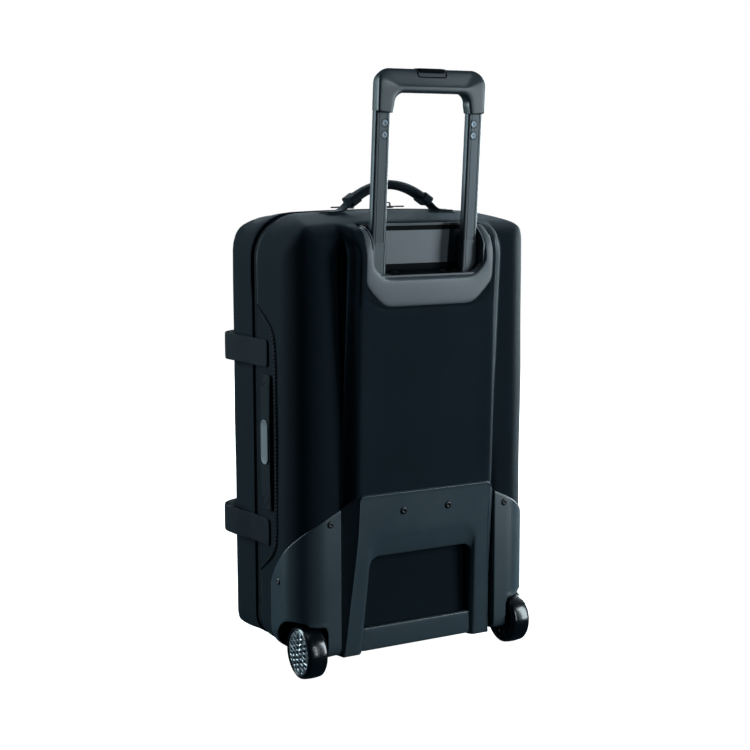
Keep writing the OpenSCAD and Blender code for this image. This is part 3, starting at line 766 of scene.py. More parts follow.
def relax(piece, frames, pressure, cap, pinned):
    """Lets cloth settle from its present shape, then keeps each point within a cap of where it began."""
    start = np.array([v.co for v in piece.data.vertices])
    group = piece.vertex_groups.new(name="pin")
    group.add([int(i) for i in np.nonzero(pinned.ravel())[0]], 1.0, "REPLACE")
    cloth = piece.modifiers.new("cloth", "CLOTH")
    settings = {"quality": 6, "mass": 0.25, "tension_stiffness": 25, "compression_stiffness": 12,
                "shear_stiffness": 8, "bending_stiffness": 4, "use_pressure": True,
                "uniform_pressure_force": pressure, "vertex_group_mass": "pin"}
    for key, value in settings.items():
        setattr(cloth.settings, key, value)
    cloth.settings.effector_weights.gravity = 0
    cloth.collision_settings.use_collision = False
    cloth.collision_settings.use_self_collision = False
    for number in range(1, frames + 1):
        bpy.context.scene.frame_set(number)
    graph = bpy.context.evaluated_depsgraph_get()
    moved = np.array([v.co for v in piece.evaluated_get(graph).data.vertices])
    piece.modifiers.remove(cloth)
    piece.vertex_groups.remove(group)
    bpy.context.scene.frame_set(1)
    step = moved - start
    length = np.linalg.norm(step, axis=1, keepdims=True)
    step *= np.minimum(1, cap * MM / np.maximum(length, 1e-9))
    piece.data.vertices.foreach_set("co", (start + step).astype(np.float32).ravel())
    piece.data.update()


def back_panel_pad():
    """Padded panel from the kick plate to the bezel, rolled down at its edges and on over the shoulder."""
    low, full, end = 250, 568, 628
    roll_w, sink_depth = 9, 5.0
    edge_x = np.array([PANEL_HW - 9, PANEL_HW - 6, PANEL_HW - 3.5, PANEL_HW - 1.5, PANEL_HW,
                       112, 115, 118, 120.5, 122])
    xs = np.concatenate([-edge_x[::-1], np.linspace(-96, 96, 33), edge_x])
    ws = np.concatenate([np.linspace(low, full, 52), np.linspace(full + 5, end, 12)])
    x, w = np.meshgrid(xs, ws)
    near = bezel_distance(x, w)
    height = panel_face(w)
    roll = 3.2 * ramp((np.abs(x) - PANEL_HW + roll_w) / roll_w) ** 2.2
    flank = smooth_step((np.abs(x) - PANEL_HW) / (121 - PANEL_HW)) * (height - SKIN_V - 3.0)
    sink = sink_depth * np.exp(-np.clip(near, 0, None) / 2.2) * ramp((110 - np.abs(x)) / 4)
    crown = 1.1 * ramp(1 - (x / PANEL_HW) ** 2) * np.sin(ramp((w - low) / 270) * math.pi) ** 0.7
    points, faces = grid_mesh(shoulder_point(x, w, BEZEL_V - height + 0.6 - crown + roll + flank + sink))
    faces = [f for f in faces if min(near.ravel()[list(f)]) > -9]
    piece = make("back_panel_pad", (points, faces), "case", PANEL_FABRIC, ("back_panel",), turned=False)
    relax(piece, 14, 1.2, 3.0, (np.abs(x) > PANEL_HW - 4) | (near < 3) | (w < 262) | (w > 500))
    edit_mesh(piece.data, lambda edit: bmesh.ops.delete(
        edit, geom=[v for v in edit.verts if not v.link_faces], context="VERTS"))
    subdivide(piece)


# ---- moulded parts of the back ---------------------------------------------------------------------------

LEG_ROWS, ARC_ROWS, TOP_ROWS = 26, 12, 12
FOOT_W = 27.5
RIM_LEG = np.array([(24, 119.6), (42, 117), (100, 113.3), (150, 109), (200, 105.6), (255, PLATE_HW)])


def plate_outlines():
    """Window, bevel, outer edge and foot of the wall, from the right foot to the middle of the top."""
    def arched(leg, cx, cy, radius):
        return chain(leg, arc_points(cx, cy, radius, 0, 90, ARC_ROWS),
                     line_points((cx, cy + radius), (0, cy + radius), TOP_ROWS))

    leg_w = np.linspace(FOOT_W, PLATE_TOP - 6, LEG_ROWS)
    wall_x, wall_turn = GROOVE_HW - 0.3, (PLATE_HW - 4, PLATE_TOP + 0.8)
    wall = chain(line_points((wall_x, FOOT_W), (wall_x, 236), LEG_ROWS),
                 line_points((wall_x, 236), wall_turn, ARC_ROWS),
                 line_points(wall_turn, (0, wall_turn[1]), TOP_ROWS))
    window = arched(line_points((87.7, FOOT_W), (82.3, 152), LEG_ROWS), 68.3, 152, 14)
    slope = arched(line_points((94, FOOT_W), (85, 174), LEG_ROWS), 60, 174, 25)
    rim_leg = np.stack([np.interp(leg_w, *RIM_LEG.T), leg_w], -1)
    return window, slope, arched(rim_leg, PLATE_HW - 6, PLATE_TOP - 6, 6), wall


def towards(start, end, distance):
    """Points a distance from one outline towards another."""
    return start + unit(end - start) * distance


def plate_bar():
    """Bar between the feet of the kick plate."""
    foot, face = SKIN_V - 0.5, float(plate_face(45)) - 5
    profile = np.array([(foot, 29), (face - 1.9, 28.4), (face - 0.5, 29.1), (face, 30.6), (face, 60.4),
                        (face - 0.3, 61.8), (face - 1.3, 62.6), (foot, 63)])
    return solid(spine(np.linspace(-92, 92, 24)[:, None], *profile.T))


def kick_plate():
    """Leaning inverted U with a bevelled window, raised rim, sloping walls and a bar between its feet."""
    window, slope, rim, wall = plate_outlines()
    share = np.linspace(0, 1, ARC_ROWS)[1:]
    top = np.concatenate([np.zeros(LEG_ROWS), share, np.ones(TOP_ROWS - 1)])
    wall_depth = plate_face(wall[:, 1]) - 10.5 - smooth_step(top * 1.2) * (panel_face(PLATE_TOP) - 12)
    rings = [(window, 17.0), (window, 6.8), (towards(window, slope, 0.5), 5.6),
             (towards(window, slope, 1.4), 4.9), ((window + slope) / 2, 2.5),
             (towards(slope, window, 1.0), 0.3), (towards(slope, rim, 1.2), 0.0),
             (towards(rim, slope, 5.5), 0.0), (towards(rim, slope, 2.8), 0.0),
             (towards(rim, slope, 2.1), -0.45), (towards(rim, slope, 1.0), -0.5),
             (towards(rim, slope, 0.1), 0.4), (rim, 1.7), (wall, wall_depth)]
    columns = []
    for ring, depth in rings:
        x, w = ring.T
        path = xyz(x, np.maximum(plate_face(w) - depth, SKIN_V), w)
        sole = [(x[0], max(SKIN_V, path[0, 1] - sink), w[0] + rise - 1.6)
                for rise, sink in ((0.0, 30.0), (0.3, 2.2), (1.0, 0.8))]
        columns.append(whole(np.concatenate([sole, path])))
    grid = np.stack(columns, 1)
    meshes = [grid_mesh(spine(*np.moveaxis(grid, -1, 0))), plate_bar()]
    for side in (1, -1):
        edge = [(side * x, v, w)
                for x, v, w in ((123.2, 10.5, 235.5), (118, 15.5, 241.5), (106.5, 28.0, 256.0))]
        meshes.append(rod(spine(*resample(edge, 3).T), circle(0.9, 8), ALONG_Y))
    subdivide(make("kick_plate_moulding", join(meshes), "case", PLASTIC, ("kick_plate",)))


def guard_top(s):
    """Height of a guard's upper edge at a distance along its outline."""
    return 130.7 + 1.23 * s - 0.0032 * s * s - 10 * np.exp(-s / 5)


def guard_plan(start_y, roll):
    """Ray origins and directions along a guard in plan, and their distances along it."""
    radius = PLAN_RADII[3]
    bend_x, bend_y = HALF_W - radius, BACK_Y - radius
    flat_y = np.concatenate([start_y + roll, np.linspace(start_y + 7, bend_y, 7)])
    phi = np.radians(np.linspace(0, 90, 19)[1:])
    back_x = np.array([140, 135, 130, 126.5, 125.2])
    origin = np.concatenate([xyz(bend_x, flat_y, 0), xyz(bend_x, bend_y, 0 * phi), xyz(back_x, bend_y, 0)])
    way = np.concatenate([xyz(1, 0, 0 * flat_y), xyz(np.cos(phi), np.sin(phi), 0), xyz(0, 1, 0 * back_x)])
    straight = bend_y - start_y
    distance = np.concatenate([flat_y - start_y, straight + radius * phi,
                               straight + radius * math.pi / 2 + bend_x - back_x])
    return origin[:, :2], way[:, :2], distance


def cut_arch(grid):
    """Faces of a guard's grid without its wheel arch, with the points round the arch moved onto its edge."""
    x, y, z = np.moveaxis(grid, -1, 0)
    arch, limit = ARCH_R - 3, WHEEL_IN - 5.4
    above = np.maximum(z, WHEEL_Z) - WHEEL_Z
    r = np.hypot(y - WHEEL_Y, above)
    hole = (r < arch) & (x > limit)
    faces = [f for f in grid_faces(*grid.shape[:2]) if not hole.ravel()[list(f)].all()]
    by_side = hole & (x - limit < arch - r)
    radial = hole & ~by_side
    scale = arch / np.maximum(r, 1)
    x = np.where(by_side, limit, x)
    y = np.where(radial, WHEEL_Y + (y - WHEEL_Y) * scale, y)
    z = np.where(radial & (above > 0), WHEEL_Z + above * scale, z)
    used = sorted({i for f in faces for i in f})
    number = {old: new for new, old in enumerate(used)}
    return xyz(x, y, z).reshape(-1, 3)[used], [tuple(number[i] for i in f) for f in faces]


def corner_guard(side, label):
    """Moulded corner laid over the foot of a column, with a rolled edge and an arch over the wheel."""
    bend_z = BASE_Z + FRONT_RADII[0]
    roll = np.array([0.0, 0.35, 1.0, 2.4])
    roll_lift = np.array([0.06, 0.6, 0.92, 1.0])
    origin, way, distance = guard_plan(17.0, roll)
    column_lift = np.ones(len(distance))
    column_lift[:len(roll)] = roll_lift
    top = guard_top(distance)
    rows = [(bend_z + 0 * top, t, 1.0) for t in np.radians([76, 64, 52, 41, 30, 20, 10])]
    rows += [(bend_z + share * (top - roll[-1] - bend_z), 0.0, 1.0) for share in np.linspace(0, 1, 25)]
    rows += [(top - back, 0.0, lift) for back, lift in zip(roll[2::-1], roll_lift[2::-1])]
    grid = []
    for z, t, lift in rows:
        heading = np.column_stack([way * math.cos(t), np.full(len(way), -math.sin(t))])
        raised = GUARD_T * np.minimum(lift, column_lift)
        surface = shoot(body_field, np.column_stack([origin, z]), heading, raised)
        edge = surface[-1] + [-0.5, -0.5, 0]
        v, w = spine_vw(edge[1], edge[2])
        deep = spine(edge[0] - 0.2, min(SKIN_V - 0.5, v - 1), w)
        grid.append(np.concatenate([surface, [edge, (edge + deep) / 2, deep]]))
    points, faces = cut_arch(np.array(grid))
    if side < 0:
        points, faces = points * [-1, 1, 1], [face[::-1] for face in faces]
    piece = make(f"corner_guard_moulding_{label}", (points, faces), "case", PLASTIC,
                 (f"corner_guard_{label}",))
    thicken(piece, 2.0)
    subdivide(piece)


def bezel():
    """U-shaped cup round the rear of the recess, with arms that run forward over the shoulder."""
    def cup(half, turn_w, flat_w):
        """Outline from the end of an arm round a slanted corner to the middle."""
        return chain(line_points((half, 630), (half, turn_w), 22),
                     line_points((half, turn_w), (BEZEL_FLAT, flat_w), 10),
                     line_points((BEZEL_FLAT, flat_w), (0, flat_w), 14))

    outer, inner = eased(cup(BEZEL_HW, 541, BEZEL_LOW), 5), eased(cup(BEZEL_IN, 566, 548), 9)
    along = unit(inner - outer)
    lip = smooth_step((578 - inner[:, 1]) / 26)[:, None]
    rings = [(outer + along * place, depth)
             for place, depth in ((0, 12.0), (0, 2.2), (0.35, 0.8), (1.2, 0.1), (3.0, -0.35))]
    rings.append(((outer + inner) / 2, -0.6))
    rings += [(inner + along * place, depth)
              for place, depth in ((-3.4, -0.3), (-1.6, 0.35), (-0.45, 1.5), (0, 3.2))]
    rings += [(inner + along * lip * place, depth) for place, depth in ((1.6, 6.5), (2.6, 9.0), (3.0, 10.9))]
    grid = np.stack([xyz(*at.T, depth) for at, depth in rings], 1)
    tips = []
    for back, sink in ((3.0, 12.0), (2.4, 5.0), (1.0, 1.2)):
        x, w, depth = grid[0].T
        tips.append(xyz(x, w + back, np.maximum(depth, 0) * 0.6 + sink))
    grid = whole(np.concatenate([tips, grid]))
    points = shoulder_point(*np.moveaxis(grid, -1, 0))
    subdivide(make("handle_bezel_moulding", grid_mesh(points), "case", SATIN, ("handle_bezel",)))


def tray_shade_and_flange():
    """Near-black strips painted in as shade on the recess floor, along the foot of its wall and under the top
    flange, and the flange with its light edge.
    """
    x = np.linspace(-80, 80, 12)
    meshes = []
    # Painted shade: near-black strips along the foot of the wall and under the flange, then a near-black
    # sheet over the recess floor.
    for low, high in ((TRAY_FLOOR + 0.4, TRAY_FLOOR + 10), (608.5, 615)):
        bar = rounded_rectangle((high - low) / 2, 0.5, 0.4, 2)
        meshes.append(rod(spine(x, TRAY_V + 0.4, (low + high) / 2), bar, ALONG_Y))
    x, v = np.meshgrid(np.linspace(-57, 57, 8), [TRAY_V + 0.6, TRAY_V + 20, TRAY_V + 38], indexing="ij")
    meshes.append(grid_mesh(spine(x, v, TRAY_FLOOR + 0.35)))
    make("tray_painted_shade", join(meshes), "case", MATTE_BLACK_AND_SHADE)
    flange = spine(np.linspace(-84, 84, 12), TRAY_V + 0.8, 617)
    make("tray_flange", rod(flange, circle(1.1, 8), ALONG_Y), "case", SATIN)


def domes(places, radius, height):
    """Domed heads with a dished centre, at (place, outward direction) pairs."""
    profile = np.array([(radius, -0.6), (radius, 0.1), (radius * 0.93, 0.45), (radius * 0.78, height * 0.8),
                        (radius * 0.5, height), (radius * 0.34, height * 0.85),
                        (radius * 0.26, height * 0.45), (0.01, height * 0.4)])
    meshes = []
    for place, out in places:
        side = unit(np.cross(out, [0.3, 0.2, 1.0]))
        a = turns(28)[:, None]
        ring = np.cos(a) * side + np.sin(a) * np.cross(out, side)
        grid = place + ring[:, None] * profile[:, :1] + np.asarray(out) * profile[:, 1:]
        meshes.append(grid_mesh(grid, closed_rows=True))
    return join(meshes)


def rivets():
    on_plate = [(spine(x, plate_face(230) - 0.1, 230), BACK_WAY) for x in (-36, 36)]
    make("plate_rivet_heads", domes(on_plate, 5.6, 2.0), "case", DARK_AND_SHADE, ("plate_rivets",))
    lift = GUARD_T - 0.2
    on_guards = [((x, BACK_Y + lift, 216), ALONG_Y) for x in (-141, 141)]
    on_guards += [((s * (HALF_W + lift), 43, 131), s * ALONG_X) for s in (-1, 1)]
    make("guard_rivet_heads", domes(on_guards, 5.2, 1.8), "case", DARK_AND_SHADE, ("guard_rivets",))
    in_tray = [(spine(x, TRAY_V + 12, TRAY_FLOOR + 0.1), TUBE_WAY) for x in (-38, 38)]
    make("tray_screw_heads", domes(in_tray, 4.0, 1.4), "case", DARK_AND_SHADE, ("tray_screws",))


# ---- telescoping handle ----------------------------------------------------------------------------------

TUBE_X = 71.9
TUBE_V = -6.0
INNER_TUBE = (11, 6, 2.6)       # half sizes and corner radius
MID_TUBE = (12.2, 7.2, 3.2)
SCREW_W = (737.5, 753)


def grooved(half_x, half_v, radius):
    """Outline of an extruded tube: rounded corners and two fine grooves on its rear and front faces."""
    steps = 5
    corner = steps + 1
    around = rounded_rectangle(half_x, half_v, radius, steps)
    groove = half_x - np.array([4.2, 4.6, 5.4, 5.8])
    x = np.concatenate([groove, -groove[::-1]])
    v = half_v + np.array([0, -0.55, -0.55, 0, 0, -0.55, -0.55, 0])
    return np.concatenate([around[:corner], np.column_stack([x, v]), around[corner:3 * corner],
                           np.column_stack([-x, -v]), around[3 * corner:]])


def tube(name, side, low, high, size, wall, body, node):
    around = grooved(*size)
    inside = around * [1 - wall / size[0], 1 - wall / size[1]]
    levels = [(low, inside), (low, around * 0.985), (low + 0.4, around), (high - 0.4, around),
              (high, around * 0.985), (high, inside)]
    grid = np.array([spine(side * TUBE_X + ring[:, 0], TUBE_V + ring[:, 1], w) for w, ring in levels])
    piece = make(name, torus(grid), body, TUBE, (node,))
    modifier(piece, "EDGE_SPLIT", split_angle=math.radians(38))


def handle_tubes():
    """Two stages of tube on each side, with flush screws in shallow cups below the grip."""
    for side, label in ((1, "right"), (-1, "left")):
        tube(f"inner_tube_profile_{label}", side, 412, 788, INNER_TUBE, 1.2, "grip", f"inner_tube_{label}")
        tube(f"mid_tube_profile_{label}", side, 232, 596, MID_TUBE, 0.45, "mid_stage", f"mid_tube_{label}")
    face = TUBE_V + INNER_TUBE[1]

    def on_tubes(sink):
        return [(spine(s * (TUBE_X - 2.5), face - sink, w), BACK_WAY) for s in (-1, 1) for w in SCREW_W]

    make("grip_screw_heads", domes(on_tubes(0.3), 4.3, 0.45), "grip", BOLT, ("grip_screws",))
    make("grip_screw_cups", domes(on_tubes(0.38), 6.2, 0.4), "grip", MATTE_BLACK_AND_SHADE)


GRIP_HW = 83.0
GRIP_TOP = 824.0
GRIP_FOOT = 766
GRIP_R = 19
GRIP_REAR = 6.67
GRIP_FRONT = GRIP_REAR - 21


def grip_shell():
    """The grip: a bar with a sloping top that turns down into two legs over the tubes."""
    rear, front = GRIP_REAR, GRIP_FRONT
    turn_x, turn_w = GRIP_HW - GRIP_R, GRIP_TOP - GRIP_R
    outer = chain(line_points((GRIP_HW, GRIP_FOOT), (GRIP_HW, turn_w), 9),
                  arc_points(turn_x, turn_w, GRIP_R, 0, 90, 13),
                  line_points((turn_x, GRIP_TOP), (0, GRIP_TOP), 10))
    inner = chain(line_points((60, GRIP_FOOT), (57.5, 777), 9),
                  arc_points(43.5, 778, 14, 0, 90, 13),
                  line_points((43.5, 792), (0, 792), 10))
    share = np.concatenate([np.zeros(8), smooth_step(np.linspace(0, 1, 13)), np.ones(9)])
    share = np.concatenate([share, share[::-1][1:]])[:, None, None]
    # (from the inner outline at -1 to the outer one at 1, v) round each section
    leg = np.array([(-1, front + 3), (-0.93, front + 0.9), (-0.78, front), (0.74, front),
                    (0.92, front + 1.0), (1, front + 3.4), (1, -4), (1, rear - 3.2), (0.94, rear - 1.0),
                    (0.8, rear), (0.3, rear), (-0.3, rear), (-0.74, rear), (-0.93, rear - 1.0),
                    (-1, rear - 3.2)])
    bar = np.array([(-1, front + 4), (-0.93, front + 1.4), (-0.78, front), (0.3, front), (0.72, front + 1.6),
                    (0.95, front + 5), (1, front + 9), (0.97, -2.6), (0.84, -0.6), (-0.28, 5.0),
                    (-0.42, rear - 0.4), (-0.5, rear), (-0.7, rear), (-0.9, rear - 1.2), (-1, rear - 4)])
    profile = leg * (1 - share) + bar * share
    across = (profile[..., :1] + 1) / 2
    at = whole(inner)[:, None] * (1 - across) + whole(outer)[:, None] * across
    points = spine(at[..., 0], profile[..., 1], at[..., 1])
    subdivide(make("grip_moulding", solid(points), "grip", GRIP, ("grip_back", "grip_front")), 2)


def grip_details():
    """The button, the well round it and the line of its notch on the grip's rear."""
    button_v = -6.2
    out = rounded_rectangle(20.0, 4.2, 3.0)
    rings = [spine(out[:, 0] * s, button_v + out[:, 1] * s, w)
             for w, s in ((818.0, 1.0), (823.2, 1.0), (824.6, 0.96), (824.9, 0.86))]
    dished = rings[-1] * 0.6 + rings[-1].mean(0) * 0.4 - [0, 0, 0.35]
    make("release_button_cap", solid(np.array(rings + [dished])), "button", DARK_AND_SHADE, ("release_button",))
    well, inner = rounded_rectangle(22.2, 6.2, 4.4), rounded_rectangle(20.7, 4.9, 3.4)
    levels = [(817.0, well), (823.9, well), (824.6, well * 0.99), (824.6, inner * 1.01), (823.9, inner),
              (817.0, inner)]
    grid = np.array([spine(ring[:, 0], button_v + ring[:, 1], w) for w, ring in levels])
    route = [(-22.0, 0.0), (-22.0, 0.36), (-19.5, 0.45), (19.5, 0.45), (22.0, 0.36), (22.0, 0.0)]
    x, down = resample(route, 0.4).T
    notch = rod(spine(x, -0.5 + 5.6 * down, 821.4 - 17.9 * down), circle(0.75, 8), ALONG_Y)
    make("button_surround", join([torus(grid), notch]), "grip", MATTE_BLACK_AND_SHADE)


# ---- wheels ----------------------------------------------------------------------------------------------

RIM_R, HUB_R = 32.2, 30.5
TYRE_SHOULDER = 6.5
CAP_R = 31.2
HOLES_ACROSS, HOLES_UP = 9.6, 6.9   # spacing of the cap's staggered holes


def tyre_profile(width):
    """Section of a tyre as (radius, distance from its inner side): a flat tread with round shoulders."""
    flank, flat = WHEEL_R - TYRE_SHOULDER, width / 2 - TYRE_SHOULDER
    t = np.linspace(-86, 86, 25)
    r = flank + TYRE_SHOULDER * np.cos(np.radians(t))
    x = width / 2 + flat * np.sign(t) * np.minimum(1, np.abs(t) / 30) + TYRE_SHOULDER * np.sin(np.radians(t))
    inside = [(RIM_R - 1.5, 1.4), (RIM_R - 1.2, 0.5)]
    outside = [(RIM_R - 1.2, width - 0.5), (RIM_R - 1.5, width - 1.4), (RIM_R - 2, width / 2)]
    return np.concatenate([inside, np.column_stack([r, np.clip(x, 0.2, width - 0.2)]), outside])


def hole_cutter(side):
    """Oval prisms for the staggered holes of a wheel cap, smaller towards the rim."""
    meshes = []
    for column in range(-3, 4):
        for row in range(-5, 5):
            y = HOLES_ACROSS * column
            z = HOLES_UP * (row + (column % 2) / 2)
            reach = math.hypot(y, z)
            if reach < 27:
                hole = circle(2.45 - 0.6 * (reach / 26) ** 2, 12) * [1.5, 1]
                ends = [xyz(side * x, WHEEL_Y + y + hole[:, 0], WHEEL_Z + z + hole[:, 1])
                        for x in (WHEEL_OUT - 6, WHEEL_OUT + 4)]
                meshes.append(solid(np.array(ends)))
    return make("hole_cutter", join(meshes), None, CAP, slot="")


def wheel_cap(side, label):
    """Domed silver disc with holes through it."""
    profile = np.array([(CAP_R, -4.0), (CAP_R, -0.9), (30.4, -0.2), (29.0, 0.2), (21, 1.2), (12, 1.9),
                        (5, 2.2), (0.6, 2.25), (0.6, 0.9), (12, 0.5), (21, -0.2), (28.4, -1.2), (28.6, -4.0)])
    disc = lathe(profile + [0, WHEEL_OUT - 2.0], side, 72)
    cap = make(f"wheel_cap_mesh_{label}", disc, f"wheel_{label}", CAP, (f"wheel_cap_{label}",))
    cutter = hole_cutter(side)
    modifier(cap, "BOOLEAN", operation="DIFFERENCE", solver="EXACT").object = cutter
    apply_modifiers(cap)
    cap.data.materials.clear()
    cap.data.materials.append(CAP)
    bpy.data.objects.remove(cutter)


def wheel(side, label):
    body = f"wheel_{label}"
    profile = tyre_profile(WHEEL_OUT - WHEEL_IN) + [0, WHEEL_IN]
    make(f"tyre_tread_{label}", lathe(profile, side, 96), body, TYRE, (f"tyre_{label}",))
    wheel_cap(side, label)
    # Painted shade: a thin near-black disc just behind the cap, so that its holes read dark.
    hole_shade_disc = np.array([(29.0, -5.4), (0.5, -5.4), (0.5, -7.4), (29.0, -7.4)]) + [0, WHEEL_OUT]
    make(f"wheel_hole_shade_{label}", lathe(hole_shade_disc, side, 48), body, MATTE_BLACK_AND_SHADE)
    # Painted shade: the hub's inner face and ribs take the dark plastic, though their slot is moulded
    # plastic. The extra darkness stands for the shade in the wheel well.
    inner = np.array([(HUB_R - 0.6, 2.2), (HUB_R - 0.6, 0.8), (HUB_R - 2.2, 0.4), (HUB_R - 3.2, 1.8),
                      (HUB_R - 4, 5.0), (13, 5.0), (12.4, 1.4), (11.2, 1.0), (11.0, 7.8), (HUB_R - 0.8, 8.4)])
    meshes = [lathe(inner + [0, WHEEL_IN], side, 72)]
    for t in turns(12):
        out = np.array([math.cos(t), math.sin(t)])
        along = np.array([-math.sin(t), math.cos(t)])
        blade = [(side * (WHEEL_IN + x), *([WHEEL_Y, WHEEL_Z] + r * out + half * along))
                 for r in (12.0, 28.0) for half in (-0.9, 0.9) for x in (1.6, 6.0)]
        meshes.append((np.array(blade), BOX_FACES))
    ribs = make(f"hub_ribs_painted_shade_{label}", join(meshes), body, DARK_AND_SHADE, (f"hub_{label}",), slot="moulded_plastic")
    bevel(ribs, 0.3, 1, 30)


# ---- handles, straps and trim on the fabric --------------------------------------------------------------

CARRY_Y = BACK_Y - 86
CARRY_END = 62.0
CARRY_TOP = 669.5
CARRY_FALL = 23.6
INSIDE_TOP = 574.0      # rays that find the crown start at this height
ANCHOR_IN, ANCHOR_OUT, ANCHOR_HALF = 70, 105, 17


def sewn_box(half_a, half_b):
    """A stitched rectangle with one diagonal, about its middle."""
    a, b = half_a, half_b
    return np.array([(-a, -b), (a, -b), (a, b), (-a, b), (-a, -b), (a, b)])


def on_crown(x, y, lift):
    """Points on the crown's fabric, raised by a lift."""
    start = xyz(x, y, INSIDE_TOP)
    up = np.broadcast_to(ALONG_Z, start.shape)
    return shoot(outer_field, start, up) + up * np.asarray(lift)[..., None]


def carry_pad():
    """Padded grip of the top handle."""
    sides = 24
    u = np.concatenate([[-1.0, -0.995, -0.97], np.linspace(-0.93, 0.93, 25), [0.97, 0.995, 1.0]])
    path = xyz(CARRY_END * u, CARRY_Y, CARRY_TOP - CARRY_FALL * u * u)
    swell = np.interp(np.abs(u), [0, 0.86, 0.95, 0.985, 1.0], [1, 0.97, 0.9, 0.78, 0.35])
    s, c = np.sin(turns(sides)), np.cos(turns(sides))
    profile = np.column_stack([6.6 * np.sign(s) * np.abs(s) ** 0.75, 13.4 * np.sign(c) * np.abs(c) ** 0.8])
    pad = make("carry_handle_pad", rod(path, profile * swell[:, None, None], ALONG_Y), "case", WEBBING,
               ("carry_pad",))
    relax(pad, 10, 0.8, 1.2, np.repeat(np.abs(u) > 0.96, sides))
    subdivide(pad)


def carry_webbing():
    """Webbing from each end of the grip down to the crown, with a cuff over its upper end."""
    meshes = []
    for side in (-1, 1):
        route = [(CARRY_END - 9, 652.5), (CARRY_END + 0.5, 646), (CARRY_END + 5, 642), (71.5, 637.5),
                 (76, 634.2), (82, 633.0), (90, 632.6), (100, 632.2)]
        points = eased(resample([(side * x, CARRY_Y, z) for x, z in route], 3), 3)
        meshes.append(rod(points, rounded_rectangle(1.3, 12.2, 1.1, 2), ALONG_Y))
        cuff = [(side * (CARRY_END - 10), CARRY_Y, 653.0), (side * (CARRY_END + 2), CARRY_Y, 645.2)]
        meshes.append(rod(resample(cuff, 2), rounded_rectangle(6.9, 14.2, 4.4), ALONG_Y))
    bevel(make("carry_handle_webbing", join(meshes), "case", WEBBING, ("carry_webbing",)), 0.5, 2, 50)


def carry_anchors():
    """Sewn patches that hold the top handle's webbing to the crown."""
    thick = 1.7
    meshes, lines = [], []
    for side in (-1, 1):
        x = np.linspace(ANCHOR_IN, ANCHOR_OUT, 10)[:, None]
        b = np.linspace(-ANCHOR_HALF, ANCHOR_HALF, 9)
        edge = lowest(x - ANCHOR_IN, ANCHOR_OUT - x, ANCHOR_HALF - np.abs(b))
        meshes.append(grid_mesh(on_crown(side * x, CARRY_Y + b, thick * ramp(edge / 1.5) ** 0.5)))
        a, b = resample(sewn_box(14, 14) + [88, 0], 3).T
        line = on_crown(side * a, CARRY_Y + b, thick + 0 * a)
        lines.append((line, np.broadcast_to(ALONG_Z, line.shape)))
    anchors = make("carry_anchor_patches", join(meshes), "case", WEBBING, ("carry_anchors",))
    thicken(anchors, 0.8)
    subdivide(anchors)
    make("carry_anchor_stitches", stitch_row(lines), "case", THREAD)


def on_side(y, z, lift):
    """Points on the right-hand side wall, raised by a lift."""
    start = xyz(CORE_HIGH[0], y, z)
    way = np.broadcast_to(ALONG_X, start.shape)
    return shoot(outer_field, start, way) + way * np.asarray(lift)[..., None]


# rear edge of the reinforcing patch behind the zip, as (z, y)
GUSSET = np.array([(131, -20), (148, 5), (161, 23), (172, 33), (182, 38.5), (200, 40.5), (430, 41),
                   (455, 38.5), (470, 34.5), (481, 26), (494.6, 4), (509.6, -20)])


def gusset():
    """Reinforcing patch behind the zip, with a heavy stitched edge."""
    front = ZIP_Y + 7.5
    z = np.concatenate([np.linspace(133, 190, 16), np.linspace(200, 440, 30), np.linspace(450, 507.8, 17)])
    z = z[:, None]
    edge = np.interp(z, *GUSSET.T)
    share = np.concatenate([np.linspace(0, 0.9, 12), [0.94, 0.97, 0.99, 1.0]])
    y = front + (edge - front) * share
    gap = edge - y
    lift = 1.5 * np.clip(gap / 1.2, 0.05, 1) ** 0.6 + 0.35 * np.exp(-((gap - 4) / 1.6) ** 2)
    subdivide(make("side_gusset_cloth", grid_mesh(on_side(y, z, lift)), "case", FABRIC, ("side_gusset",)))
    rows = []
    for inset in (2.6, 5.6):
        route = resample(GUSSET[1:-1], 3)
        line = on_side(route[:, 1] - inset, route[:, 0], np.full(len(route), 1.75))
        rows.append((line, np.broadcast_to(ALONG_X, line.shape)))
    make("gusset_stitches", stitch_row(rows, 3.0, 2.2, 0.65, 0.35), "case", THREAD, slot="body_fabric")


SIDE_HANDLE_Y = ZIP_Y + 40
SIDE_HANDLE_Z = 320
SIDE_HANDLE_HALF = 95


def side_handle():
    """Flat webbing handle on the closing side, with a rubber badge on it."""
    def handle_x(z):
        return HALF_W + 5.2 - 1.9 * ((z - SIDE_HANDLE_Z) / SIDE_HANDLE_HALF) ** 4

    z = np.linspace(SIDE_HANDLE_Z - SIDE_HANDLE_HALF, SIDE_HANDLE_Z + SIDE_HANDLE_HALF, 40)
    webbing = rod(xyz(handle_x(z), SIDE_HANDLE_Y, z), rounded_rectangle(1.4, 13.8, 1.2, 3), ALONG_Y)
    subdivide(make("side_handle_webbing", webbing, "case", WEBBING, ("side_handle",)))
    half_y, half_z = 10.8, 31.0
    a, b = rounded_rectangle(half_y, half_z, 9.4, 6).T
    rings = [xyz(HALF_W + 6.4 + lift, SIDE_HANDLE_Y + a * scale,
                 SIDE_HANDLE_Z + 1 + b * (half_z - half_y * (1 - scale)) / half_z)
             for lift, scale in ((0.0, 1.0), (1.2, 1.0), (1.75, 0.97), (1.9, 0.9), (1.55, 0.84), (1.5, 0.3))]
    make("side_handle_tab", solid(np.array(rings)), "case", BADGE, ("side_handle_badge",))
    lines = []
    for end in (-84, 84):
        y, z = resample(sewn_box(11, 8) + [SIDE_HANDLE_Y, SIDE_HANDLE_Z + end], 3).T
        line = xyz(handle_x(z) + 1.5, y, z)
        lines.append((line, np.broadcast_to(ALONG_X, line.shape)))
    make("side_handle_stitches", stitch_row(lines), "case", THREAD)


